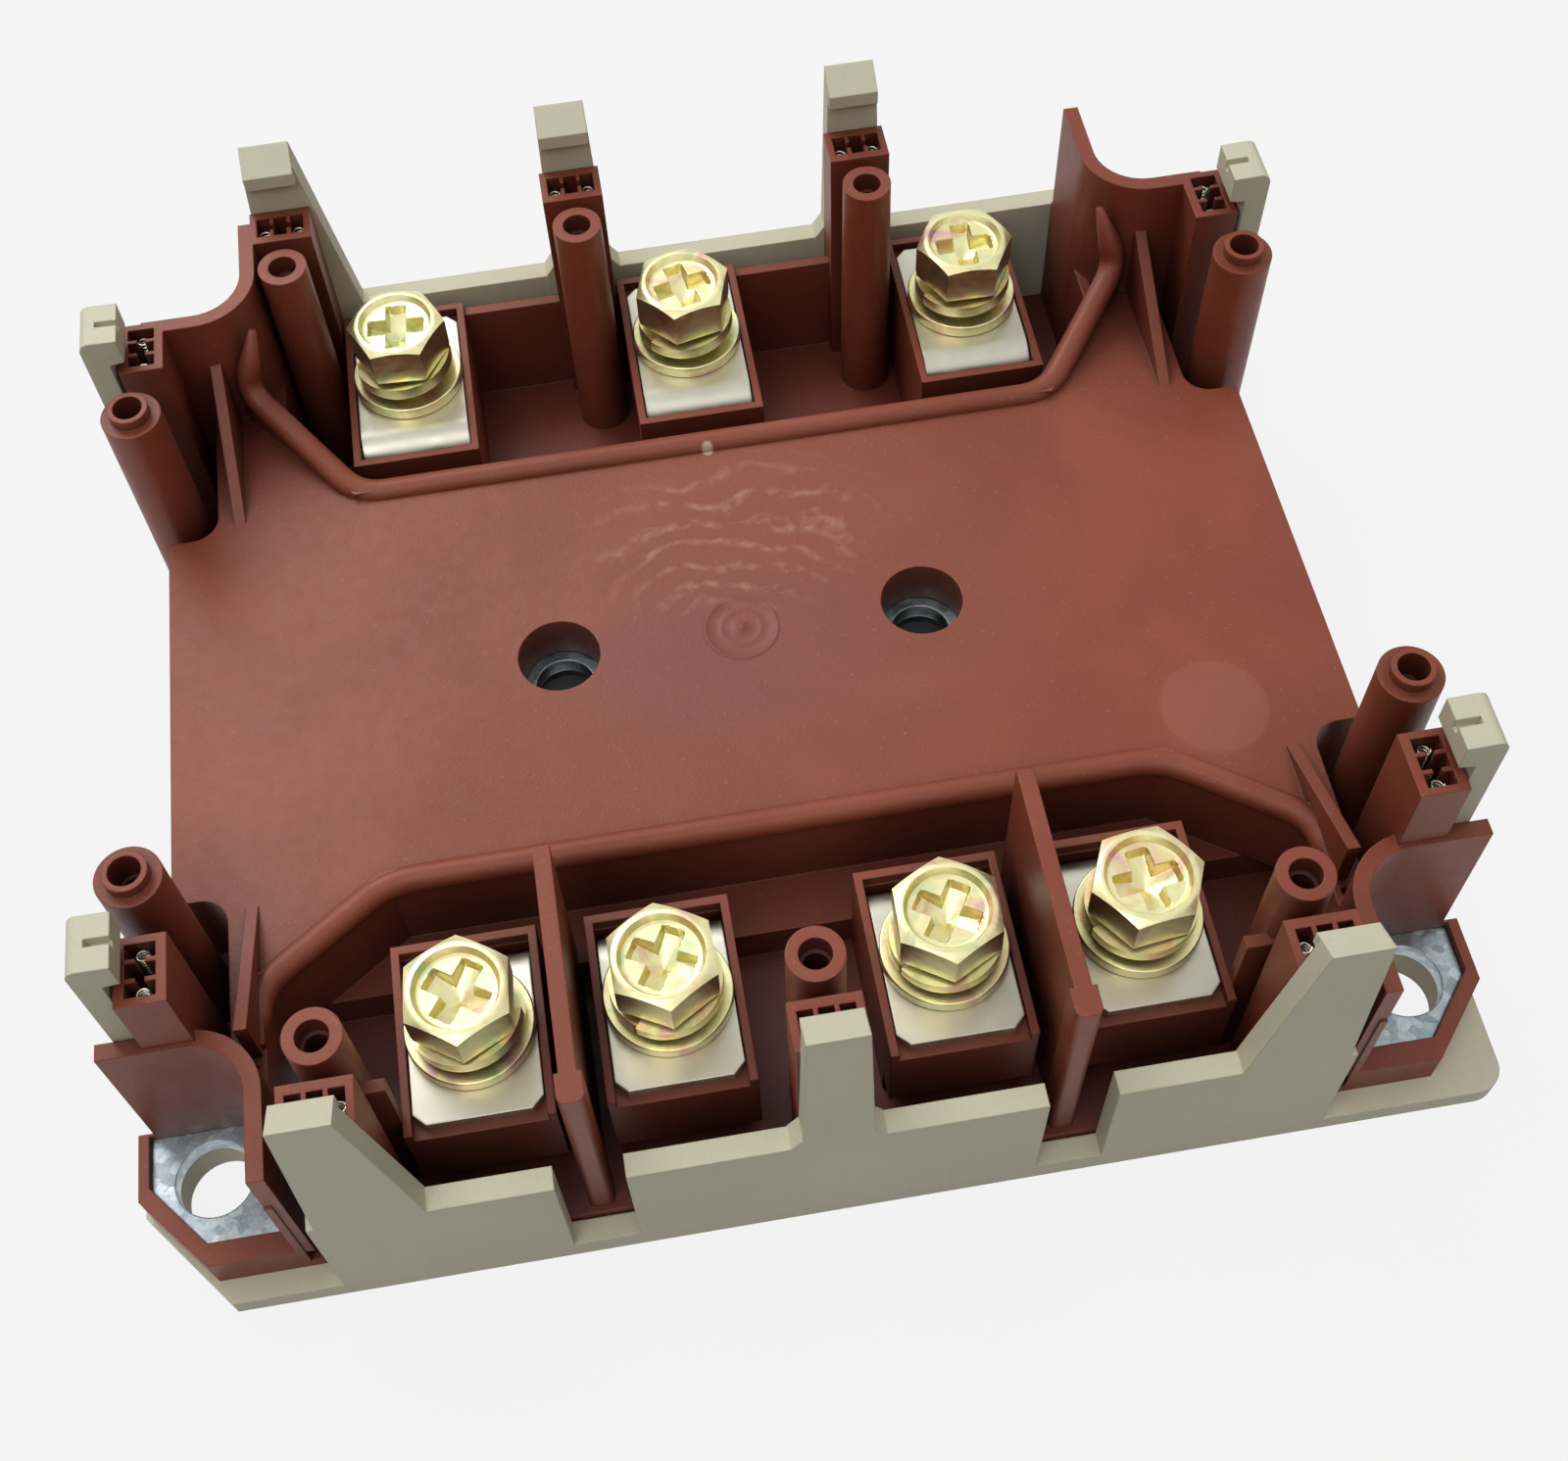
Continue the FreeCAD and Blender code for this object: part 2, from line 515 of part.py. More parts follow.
def make_pressure_plate():
    """Pressed steel plate: raised field, low side flanges and four ears with the mounting holes."""
    body = new_body("pressure_plate")
    web = "plate_web - plate_thick"
    top = "plate_rise + plate_thick"
    profile = [("-plate_flange", "ear_low"), (f"-({web})", "ear_low"),
               (f"-({web})", "plate_rise", "bend_in"), (web, "plate_rise", "bend_in"), (web, "ear_low"),
               ("plate_flange", "ear_low"), ("plate_flange", PLATE_TOP),
               ("plate_web", PLATE_TOP, "bend_in"), ("plate_web", top, "bend_out"),
               ("-plate_web", top, "bend_out"),
               ("-plate_web", PLATE_TOP, "bend_in"), ("-plate_flange", PLATE_TOP)]
    shape(body, "Pad", "XZ", "-plate_field", "plate_field", [profile])
    flange = rectangle(web, "plate_flange", "-ear_y - bend_in", "-plate_field + bend_in")
    shape(body, "Pad", "XY", "ear_low", PLATE_TOP, four_ways(flange))
    shape(body, "Pad", "XY", "ear_low", PLATE_TOP, four_ways(ear_outline("0")))
    fixings = [(signed(side, "fix_x"), signed(end, "fix_y"), "fix_r") for side in SIDES for end in SIDES]
    shape(body, "Pocket", "XY", "ear_low", PLATE_TOP, circles=fixings)
    ties = [(signed(side, "gate_x"), "0", "tie_r") for side in SIDES]
    shape(body, "Pocket", "XY", "plate_rise", top, circles=ties)
    return body


def prism(plane, low, high, outlines=(), circles=()):
    """Outlines and circles drawn parallel to a plane and extruded between two levels of its axis."""
    turn, forward, axis = {"XY": (FreeCAD.Rotation(), 1, "z"),
                           "XZ": (FreeCAD.Rotation(FreeCAD.Vector(1, 0, 0), 90), -1, "y"),
                           "YZ": (FreeCAD.Rotation(FreeCAD.Vector(1, 1, 1), 120), 1, "x")}[plane]
    sketch = doc.addObject("Sketcher::SketchObject", "outline")
    sketch.Placement.Rotation = turn
    sketch.setExpression(f"Placement.Base.{axis}", bound(low if forward > 0 else high))
    for corners in outlines:
        add_outline(sketch, corners)
    for x, y, radius in circles:
        add_circle(sketch, x, y, radius)
    block = doc.addObject("Part::Extrusion", "prism")
    block.Base = sketch
    block.DirMode = "Normal"
    block.Solid = True
    block.FaceMakerClass = "Part::FaceMakerBullseye"
    block.setExpression("LengthFwd", bound(f"({high}) - ({low})"))
    return block


def cone(x, y, low, high, radius):
    """Round post with the moulding draft, thinner at its top."""
    post = doc.addObject("Part::Cone", "post")
    post.setExpression("Radius1", bound(radius))
    post.setExpression("Radius2", bound(f"{radius} - tan(post_taper) * (({high}) - ({low}))"))
    post.setExpression("Height", bound(f"({high}) - ({low})"))
    for axis, text in zip("xyz", (x, y, low)):
        post.setExpression(f"Placement.Base.{axis}", bound(text))
    return post


def fuse(pieces):
    joined = doc.addObject("Part::MultiFuse", "joined")
    joined.Shapes = pieces
    return joined


def common(pieces):
    shared = doc.addObject("Part::MultiCommon", "shared")
    shared.Shapes = pieces
    return shared


def cut(base, tools):
    """The base without its tools."""
    rest = doc.addObject("Part::Cut", "rest")
    rest.Base = base
    rest.Tool = fuse(tools)
    return rest


def corner_wall(x, y, reach, end):
    """A thin L-shaped wall at the front right, its two legs joined by a rounded corner."""
    return [(f"{x} - corner_wall", f"-{end}"), (x, f"-{end}"), (x, f"-{y}", "corner_round"),
            (reach, f"-{y}"), (reach, f"-{y} + corner_wall"),
            (f"{x} - corner_wall", f"-{y} + corner_wall", "corner_round + corner_wall")]


def cover_skin():
    """Lid block, corner rims and shelves of the side pits, with the wells, pits and inner space cut out."""
    plan = [("-corner_back_x", "rim_y"), ("-corner_back_x", "corner_back_y"), ("-lid_x", "corner_back_y"),
            ("-lid_x", "-corner_front_y"), ("-corner_front_x", "-corner_front_y"), ("-corner_front_x", "-rim_y"),
            ("corner_front_x", "-rim_y"), ("corner_front_x", "-corner_front_y"), ("lid_x", "-corner_front_y"),
            ("lid_x", "corner_back_y"), ("corner_back_x", "corner_back_y"), ("corner_back_x", "rim_y")]
    lid = prism("XY", "floor_thick", "lid_top", [plan])
    front_rim = [("corner_front_x - corner_wall", "-rim_y"), ("plate_x - plate_cut_x", "-rim_y"),
                 ("rim_x", "-rim_y + plate_cut_y + rim_x - plate_x"), ("rim_x", "-waist_y"),
                 ("corner_front_x - corner_wall", "-waist_y")]
    back_rim = [("corner_back_x - corner_wall", "waist_y"), ("rim_x", "waist_y"),
                ("rim_x", "rim_y - plate_cut_y - rim_x + plate_x"), ("plate_x - plate_cut_x", "rim_y"),
                ("corner_back_x - corner_wall", "rim_y")]
    rims = prism("XY", "floor_thick", "rim_top", both(front_rim) + both(back_rim))
    arm_face = "waist_x - arm_thick - fit_gap"
    post_edge = "-post_side_y - post_side_r - fit_gap"
    shelf = [("pit_inner", "-corner_front_y"), (arm_face, "-corner_front_y"), (arm_face, post_edge),
             ("pit_shelf", post_edge), ("pit_shelf", "-pit_start"), ("pit_inner", "-pit_start")]
    shelves = prism("XY", "floor_thick", "pit_floor", four_ways(shelf))

    open_front = [("corner_front_x", "-plate_y"), ("plate_x - plate_cut_x", "-plate_y"),
                  ("plate_x", "-plate_y + plate_cut_y"), ("plate_x", "-corner_front_y"),
                  ("corner_front_x", "-corner_front_y")]
    open_back = [("corner_back_x", "corner_back_y"), ("plate_x", "corner_back_y"),
                 ("plate_x", "plate_y - plate_cut_y"), ("plate_x - plate_cut_x", "plate_y"),
                 ("corner_back_x", "plate_y")]
    ears = prism("XY", "floor_thick", "rim_top", both(open_front) + both(open_back))
    front = [("-shoulder_x", "-base_y"), ("shoulder_x", "-base_y"), ("shoulder_x", "-shoulder_y"),
             ("edge_x", "-edge_front"), ("-edge_x", "-edge_front"), ("-shoulder_x", "-shoulder_y")]
    back = [("-shoulder_back_x", "base_y"), ("-shoulder_back_x", "shoulder_back_y"), ("-edge_x", "edge_back"),
            ("edge_x", "edge_back"), ("shoulder_back_x", "shoulder_back_y"), ("shoulder_back_x", "base_y")]
    trenches = prism("XY", "trench_floor", CLEAR, [front, back])
    wells = prism("XY", "well_floor", "trench_floor + fit_gap",
                  [rectangle("-shoulder_x", "shoulder_x", "-base_y", "-trench_y"),
                   rectangle("-shoulder_back_x", "shoulder_back_x", "trench_y", "base_y")])
    pit = [("pit_inner", "-corner_front_y + corner_wall"), ("rim_x", "-corner_front_y + corner_wall"),
           ("rim_x", "-pit_start"), ("pit_inner", "-pit_start", "pit_round")]
    back_pit = [("pit_inner", "pit_start", "pit_round"), ("rim_x", "pit_start"),
                ("rim_x", "corner_back_y - corner_wall"), ("pit_inner", "corner_back_y - corner_wall")]
    pits = prism("XY", "pit_floor", CLEAR, both(pit) + both(back_pit))
    space = prism("XY", "0", "lid_top - lid_thick", [rectangle("-cavity_x", "cavity_x", "-cavity_y", "cavity_y")])
    passage = prism("XY", "0", "passage_top", [rectangle("-passage_x", "passage_x", "-passage_y", "passage_y")])
    return cut(fuse([lid, rims, shelves]), [ears, trenches, wells, pits, space, passage])


def cover_terminals():
    """Terminal blocks, the panels and the wall between them, and the partitions."""
    blocks = [beside(x, "block_width / 2", "-block_end", "-trench_y") for x, y in DC_ROW]
    blocks += [beside(x, "block_width / 2", "trench_y", "block_back_end") for x, y in AC_ROW]
    panels = both(rectangle("term_outer + block_width / 2", "post_front_x", "-panel_y - panel_thick / 2",
                            "-panel_y + panel_thick / 2"))
    walls = [beside(signed(side, "partition_x"), "partition_thick / 2", "-partition_end + nose_length / 2",
                    "-partition_start") for side in SIDES]
    noses = [beside(signed(side, "partition_x"), "nose_width / 2", "-partition_end",
                    "-partition_end + nose_length") for side in SIDES]
    rounded = [[corner + ("nose_width / 3",) if number < 2 else corner for number, corner in enumerate(nose)]
               for nose in noses]
    back_wall = rectangle("-pitch_back", "pitch_back", "block_back_end - panel_thick", "block_back_end")
    return [prism("XY", "floor_thick", "block_lip_top", blocks), prism("XY", "well_floor", "panel_top", panels),
            prism("XY", "notch_low", "partition_top", walls), prism("XY", "notch_low", "partition_top", rounded),
            prism("XY", "well_floor", "back_wall_top", [back_wall])]


def cover_ribs():
    """Corner walls, beads and rising ribs along the wells, and the fins that run up to the walls."""
    low_wall = corner_wall("corner_front_x", "corner_front_y", "corner_front_reach", "low_end")
    tall_wall = turned(corner_wall("corner_back_x", "corner_back_y", "slot_side_x", "tall_end"))
    bead_low = "lid_top - bead_height"
    bead_high = "lid_top + bead_height"
    front_bead = [("-edge_x", "-edge_front"), ("edge_x", "-edge_front"), ("shoulder_x", "-shoulder_y"),
                  ("shoulder_x", "-corner_front_y + corner_wall"),
                  ("shoulder_x + bead_width", "-corner_front_y + corner_wall"),
                  ("shoulder_x + bead_width", "-shoulder_y + bead_width / 2"),
                  ("edge_x + bead_width / 2", "-edge_front + bead_width"),
                  ("-edge_x - bead_width / 2", "-edge_front + bead_width"),
                  ("-shoulder_x - bead_width", "-shoulder_y + bead_width / 2"),
                  ("-shoulder_x - bead_width", "-corner_front_y + corner_wall"),
                  ("-shoulder_x", "-corner_front_y + corner_wall"), ("-shoulder_x", "-shoulder_y")]
    back_bead = rectangle("-edge_x", "edge_x", "edge_back - bead_width", "edge_back")
    rib = [("edge_x", "edge_back"), ("edge_x - bead_width / 2", "edge_back - bead_width"),
           ("edge_x + bead_width / 2", "edge_back - bead_width"), ("rib_x + bead_width", "rib_y - bead_width / 2"),
           ("rib_x + bead_width", "corner_back_y"), ("rib_x", "corner_back_y"), ("rib_x", "rib_y")]
    slope = [("edge_back - bead_width", bead_low), ("corner_back_y", bead_low), ("corner_back_y", "rib_top"),
             ("edge_back", bead_high), ("edge_back - bead_width", bead_high)]
    ribs = common([prism("XY", bead_low, "rib_top", both(rib)), prism("YZ", "-lid_x", "lid_x", [slope])])
    back_wall_face = "corner_back_y - corner_wall / 2"
    front_wall_face = "-corner_front_y + corner_wall / 2"
    back_fin = [("fin_start", "lid_top"), (back_wall_face, "lid_top"), (back_wall_face, "lid_top + fin_rise")]
    front_fin = [(front_wall_face, "lid_top"), ("-fin_start", "lid_top"), (front_wall_face, "corner_front_top")]
    pieces = [prism("XY", PLATE_TOP, "corner_front_top", both(low_wall)),
              prism("XY", PLATE_TOP, "post_top", both(tall_wall)),
              prism("XY", bead_low, bead_high, [front_bead, back_bead]), ribs]
    for side in SIDES:
        middle = signed(side, "fin_x")
        pieces.append(prism("YZ", f"{middle} - fin_thick / 2", f"{middle} + fin_thick / 2", [back_fin, front_fin]))
    return pieces


def spring_slots():
    """Each spring post as (x, y, along X or not): middle of its top."""
    slots = [(x, signed(-1 if y.startswith("-") else 1, f"{SLOT_FACE} - slot_depth / 2"), True)
             for x, y in FRONT_POSTS + BACK_POSTS]
    return slots + [(signed(side, "slot_side_x"), signed(end, "slot_side_y"), False)
                    for side in SIDES for end in SIDES]


def around(x, y, wide, deep, along):
    """A rectangle centred on a point, its wide side along X or along Y."""
    half_x, half_y = (wide, deep) if along else (deep, wide)
    return rectangle(f"{x} - {half_x} / 2", f"{x} + {half_x} / 2", f"{y} - {half_y} / 2", f"{y} + {half_y} / 2")


def shifted(x, y, step, along):
    """The middle of one lobe of a spring slot."""
    return (f"{x} + {step} * lobe_pitch", y) if along else (x, f"{y} + {step} * lobe_pitch")


def make_case_cover():
    """Moulded housing: skin, terminal blocks, ribs and walls, round posts and spring posts."""
    slots = spring_slots()
    inner = [around(x, y, "slot_width", "slot_depth", along) for x, y, along in slots if along]
    outer = [around(x, y, "slot_width", "slot_depth", along) for x, y, along in slots if not along]
    standing = [prism("XY", "floor_thick", "post_top", inner), prism("XY", PLATE_TOP, "post_top", outer)]
    standing += [cone(x, y, "floor_thick", "post_top", "post_r") for x, y in FRONT_POSTS + BACK_POSTS]
    standing += [cone(x, y, PLATE_TOP, "post_top", "post_side_r") for x, y in SIDE_POSTS]
    standing.append(prism("XY", "post_top - fit_gap", "post_top + collar_height",
                          circles=[(x, y, "collar_r") for x, y in SIDE_POSTS]))
    standing.append(prism("XY", "plate_rise + plate_thick + fit_gap", "lid_top - lid_thick / 2",
                          circles=[(signed(side, "gate_x"), "0", "gate_r + sleeve_wall") for side in SIDES]))

    # Tab seats, riser slots with their bends and throats, nut pockets and screw holes
    tab_half = "tab_width / 2 + fit_gap"
    riser = "riser_front + bus_thick + fit_gap"
    riser_back = "riser_back + bus_thick + fit_gap"
    seats = [beside(x, tab_half, "-base_y", "-trench_y - block_lip") for x, y in DC_ROW]
    seats += [beside(x, tab_half, "trench_y + block_lip", "block_back_end - block_lip") for x, y in AC_ROW]
    risers = [beside(x, tab_half, f"-({riser})", "-riser_front + fit_gap") for x, y in DC_ROW]
    risers += [beside(x, tab_half, "riser_back - fit_gap", riser_back) for x, y in AC_ROW]
    throats = [beside(x, tab_half, f"-({riser})", "-passage_y + fit_gap") for x, y in DC_ROW]
    throats += [beside(x, tab_half, "passage_y - fit_gap", riser_back) for x, y in AC_ROW]
    bends = [beside(x, tab_half, f"-({riser}) - bend_r", f"-({riser}) + fit_gap / 2") for x, y in DC_ROW]
    bends += [beside(x, tab_half, f"{riser_back} - fit_gap / 2", f"{riser_back} + bend_r") for x, y in AC_ROW]
    nuts = [[(f"{x} + ({across})", f"{y} + ({along})") for across, along in hexagon("hex_flats + 2 * fit_gap")]
            for x, y in DC_ROW + AC_ROW]
    undercuts = [beside(x, "block_width / 2", "-block_end", "-block_end + under_depth") for x, y in DC_ROW]
    away = [prism("XY", "seat_height", CLEAR, seats), prism("XY", "0", "seat_height + fit_gap", risers),
            prism("XY", "0", "passage_top", throats),
            prism("XY", "seat_height - bend_r - fit_gap", "seat_height + fit_gap", bends),
            prism("XY", "seat_height - nut_height - fit_gap", "seat_height + fit_gap", nuts),
            prism("XY", f"{HEAD_SEAT} - screw_length - screw_room", "seat_height", circles=[
                (x, y, "tab_hole_r") for x, y in DC_ROW + AC_ROW]),
            prism("XY", "well_floor", "under_top", undercuts)]

    # Lobes of the spring posts, pilot holes, lid holes and the room for the plate
    lobes = []
    for x, y, along in slots:
        lobes += [around(*shifted(x, y, step, along), "lobe_width", "lobe_length", along) for step in (-1, 0, 1)]
    links = [around(x, y, "2 * lobe_pitch", "lobe_link", along) for x, y, along in slots]
    lobe_floor = "post_top - lobe_depth"
    away += [prism("XY", lobe_floor, "post_top", lobes), prism("XY", lobe_floor, "post_top", links)]
    pilots = FRONT_POSTS + BACK_POSTS + SIDE_POSTS
    away.append(prism("XY", "post_top - pilot_step", "post_top + collar_height",
                      circles=[(x, y, "pilot_r") for x, y in pilots]))
    away.append(prism("XY", "post_top - pilot_depth", "post_top",
                      circles=[(x, y, "pilot_core_r") for x, y in pilots]))
    away.append(prism("XY", "plate_rise", CLEAR,
                      circles=[(signed(side, "gate_x"), "0", "gate_r") for side in SIDES]))
    room = f"{PLATE_TOP} + fit_gap"
    web = "plate_web - plate_thick - fit_gap"
    flange = rectangle(web, "plate_flange + fit_gap", "-ear_y - fit_gap", "-cavity_y")
    middle_flange = rectangle(web, "rim_x", "-cavity_y - fit_gap", "cavity_y + fit_gap")
    for outlines in (four_ways(ear_outline("fit_gap")), four_ways(flange), both(middle_flange)):
        away.append(prism("XY", "0", room, outlines))
    cover = cut(fuse([cover_skin()] + cover_terminals() + cover_ribs() + standing), away)
    cover.Refine = True
    cover.Label = "case_cover"
    return cover


def tab_profile(riser, level, inner, reach):
    """Side view of a busbar at the back: sheet, riser and tab with a rounded bend, (Y, Z) corners."""
    return [(inner, level), (f"{riser} + bus_thick", level), (f"{riser} + bus_thick", "seat_height", "bend_r"),
            (reach, "seat_height"), (reach, TAB_TOP), (riser, TAB_TOP, "bend_r + bus_thick"),
            (riser, f"{level} + bus_thick"), (inner, f"{level} + bus_thick")]


def add_terminal(body, x, profile, y):
    """One terminal of a busbar: bent strip, chamfered tab corners and screw hole."""
    shape(body, "Pad", "YZ", f"{x} - tab_width / 2", f"{x} + tab_width / 2", [profile])
    end = -1 if y.startswith("-") else 1
    tip = signed(end, f"{y.lstrip('-')} + tab_reach")
    inner = signed(end, f"{y.lstrip('-')} + tab_reach - tab_chamfer")
    outer = signed(end, f"{y.lstrip('-')} + tab_reach + sink")
    cuts = []
    for side in SIDES:
        edge = f"{x} + {side} * tab_width / 2"
        corner = [(edge, inner), (f"{edge} + {side} * sink", inner), (f"{edge} + {side} * sink", outer),
                  (f"{edge} - {side} * tab_chamfer", outer), (f"{edge} - {side} * tab_chamfer", tip)]
        cuts.append(corner if side * end > 0 else corner[::-1])
    shape(body, "Pocket", "XY", "seat_height - sink", f"{TAB_TOP} + sink", cuts)
    shape(body, "Pocket", "XY", "seat_height - sink", f"{TAB_TOP} + sink", circles=[(x, y, "tab_hole_r")])


def feet_at(places):
    return [around(x, y, "foot_size", "foot_size", True) for x, y in places]


AC_FEET = [(signed(side, "ac_foot_x"), y) for y in ("ac_foot_near", "ac_foot_far") for side in SIDES]
MINUS_FEET = [(signed(side, "dc_foot_x"), "-minus_foot_y") for side in SIDES]
PLUS_FEET = [(signed(side, "dc_foot_x"), "-plus_foot_y") for side in SIDES]


def on_core(step, feet):
    """Foot places given about one substrate, in the module's frame."""
    return [(f"{step} * core_pitch + {x}", y) for x, y in feet]


def make_busbar_ac(name, step):
    """Copper bar from one substrate to its AC terminal."""
    body = new_body(name)
    x, y = AC_ROW[step + 1]
    sheet_top = "bus_low + bus_thick"
    middle = f"{step} * core_pitch"
    shape(body, "Pad", "XY", "bus_low", sheet_top, [beside(middle, "ac_half", "ac_near", "ac_far")])
    add_terminal(body, x, tab_profile("riser_back", "bus_low", "bus_inner", "term_back + tab_reach"), y)
    shape(body, "Pad", "XY", "core_thick", "bus_low + sink", feet_at(on_core(step, AC_FEET)))
    return body


def make_busbar_dc(name, terminals, level, feet, slots):
    """Wide copper bar over all three substrates with two DC terminals."""
    body = new_body(name)
    top = f"{level} + bus_thick"
    shape(body, "Pad", "XY", level, top, [rectangle("-bus_half", "bus_half", "-bus_front", "-bus_back")])
    profile = [(f"-({corner[0]})",) + tuple(corner[1:]) for corner in
               reversed(tab_profile("riser_front", level, "bus_inner", "term_front + tab_reach"))]
    for number in terminals:
        x, y = DC_ROW[number]
        add_terminal(body, x, profile, y)
    places = [place_ for step in (-1, 0, 1) for place_ in on_core(step, feet)]
    shape(body, "Pad", "XY", "core_thick", f"{level} + sink", feet_at(places))
    if slots:
        holes = [(x, y, "foot_size") for step in (-1, 0, 1) for x, y in on_core(step, slots)]
        shape(body, "Pocket", "XY", level, top, circles=holes)
    return body


def make_busbar_insulation():
    """Film between the plus and minus busbar, with holes for the plus bar's feet."""
    body = new_body("busbar_insulation")
    low = "bus_low + bus_thick"
    film = rectangle("-bus_half - film_lap", "bus_half + film_lap", "-film_front", "-bus_back + film_lap")
    shape(body, "Pad", "XY", low, LAMINATE, [film])
    holes = [(x, y, "foot_size - film_lap") for step in (-1, 0, 1) for x, y in on_core(step, PLUS_FEET)]
    shape(body, "Pocket", "XY", low, LAMINATE, circles=holes)
    return body


def make_substrate(name, step):
    """Copper-clad ceramic carrying one phase."""
    body = new_body(name)
    shape(body, "Pad", "XY", "0", "core_thick", [around("0", "0", "core_x", "core_y", True)])
    place(body, f"{step} * core_pitch", "0", "0")
    return body


def make_chips(name, size, places):
    """Silicon chips of one kind, soldered on all three substrates."""
    body = new_body(name)
    chips = [around(x, y, size, size, True) for step in (-1, 0, 1) for x, y in on_core(step, places)]
    shape(body, "Pad", "XY", "core_thick", "core_thick + chip_thick", chips)
    return body


def make_pressure_bridge():
    """Stiff moulding that spreads the plate's force over the busbars."""
    body = new_body("pressure_bridge")
    low = f"{LAMINATE} + bus_thick"
    shape(body, "Pad", "XY", low, "bridge_top", [rectangle("-bridge_x", "bridge_x", "-bridge_y", "bridge_y")])
    ribs = [beside(f"{step} * core_pitch", "bridge_rib_x", "bridge_rib_near", "bridge_rib_far")
            for step in (-1, 0, 1)]
    shape(body, "Pad", "XY", "bus_low + bus_thick", f"{low} + sink", ribs)
    shape(body, "Pocket", "XY", low, "bridge_top",
          circles=[(signed(side, "gate_x"), "0", "tie_r + tie_gap") for side in SIDES])
    return body


def make_pressure_pad():
    """Foam pad between the bridge and the plate."""
    body = new_body("pressure_pad")
    shape(body, "Pad", "XY", "bridge_top", "plate_rise", [rectangle("-bridge_x", "bridge_x", "-bridge_y", "bridge_y")])
    shape(body, "Pocket", "XY", "bridge_top", "plate_rise",
          circles=[(signed(side, "gate_x"), "0", "tie_r + tie_gap") for side in SIDES])
    return body


def make_temperature_sensor():
    """Small glass-bodied sensor on the middle substrate."""
    body = new_body("temperature_sensor")
    shape(body, "Pad", "YZ", "-sensor_length / 2", "sensor_length / 2",
          circles=[("-sensor_y", "core_thick + sensor_r", "sensor_r")])
    return body


def make_contact_springs():
    """Two gate springs in every spring post, wound as closed coils."""
    body = new_body("contact_springs")
    tops = [shifted(x, y, step, along) for x, y, along in spring_slots() for step in SIDES]
    shape(body, "Pad", "XY", "post_top - lobe_depth", "post_top - coil_drop",
          circles=[(x, y, "coil_r") for x, y in tops])
    return body


def make_screw(name, x, y, turn):
    """Hexagon head screw with a dished top, raised rim and cross recess."""
    body = new_body(name)
    shape(body, "Pad", "XY", "0", "head_height", [hexagon("hex_flats")])
    revolve(body, [("0", "-screw_length"), ("screw_r - screw_tip", "-screw_length"),
                   ("screw_r", "-screw_length + screw_tip"), ("screw_r", "sink"), ("0", "sink")])
    turn_away(body, [("hex_flats / 2 - sink", "head_height + sink"), ("hex_flats", "head_height + sink"),
                     ("hex_flats", "head_height - head_bevel")])
    turn_away(body, [("0", "head_height - head_rim"), ("dish_r - dish_slope", "head_height - head_rim"),
                     ("dish_r", "head_height + sink"), ("0", "head_height + sink")])
    span = "cross_span / 2"
    arm = "cross_width / 2"
    cross = [(f"-({span})", f"-({arm})"), (f"-({arm})", f"-({arm})"), (f"-({arm})", f"-({span})"),
             (arm, f"-({span})"), (arm, f"-({arm})"), (span, f"-({arm})"), (span, arm), (arm, arm), (arm, span),
             (f"-({arm})", span), (f"-({arm})", arm), (f"-({span})", arm)]
    shape(body, "Pocket", "XY", "head_height - head_rim - cross_depth", "head_height - head_rim", [cross])
    place(body, x, y, HEAD_SEAT, turn)
    return body


def make_ring(name, x, y, outer, bore, thick, level):
    """Flat ring such as a plain washer."""
    body = new_body(name)
    shape(body, "Pad", "XY", "0", thick, circles=[("0", "0", outer), ("0", "0", bore)])
    place(body, x, y, level)
    return body


def tilted_half(side, level, tilt):
    """The back (+1) or front (-1) half of a split ring, tilted about Y by an angle in radians."""
    sketch = doc.addObject("Sketcher::SketchObject", "ring")
    sketch.Placement.Rotation = FreeCAD.Rotation(FreeCAD.Vector(0, 1, 0), math.degrees(tilt))
    sketch.setExpression("Placement.Base.z", bound(level))
    add_circle(sketch, "0", "0", "lock_r")
    add_circle(sketch, "0", "0", "lock_bore")
    ring = doc.addObject("Part::Extrusion", "ring")
    ring.Base = sketch
    ring.DirMode = "Normal"
    ring.Solid = True
    ring.FaceMakerClass = "Part::FaceMakerBullseye"
    ring.setExpression("LengthFwd", bound("lock_wire"))
    low, high = ("0", "2 * lock_r") if side > 0 else ("-2 * lock_r", "0")
    half = prism("XY", "-lock_lift", "2 * (lock_wire + lock_lift)",
                 [rectangle("-2 * lock_r", "2 * lock_r", low, high)])
    return common([ring, half])


def make_spring_washer(name, x, y, turn):
    """Split ring whose end springs up by lock_lift: two half rings that lean opposite ways."""
    tilt = math.atan(value("lock_lift / (4 * lock_r)"))
    washer = fuse([tilted_half(1, "lock_lift / 4", tilt), tilted_half(-1, "3 * lock_lift / 4", -tilt)])
    washer.Label = name
    place(washer, x, y, f"{TAB_TOP} + washer_thick", turn)
    return washer


def make_nut(name, x, y):
    """Hexagon nut held in the pocket under its tab."""
    body = new_body(name)
    shape(body, "Pad", "XY", "0", "nut_height", [hexagon("hex_flats")], circles=[("0", "0", "nut_bore")])
    place(body, x, y, "seat_height - nut_height")
    return body


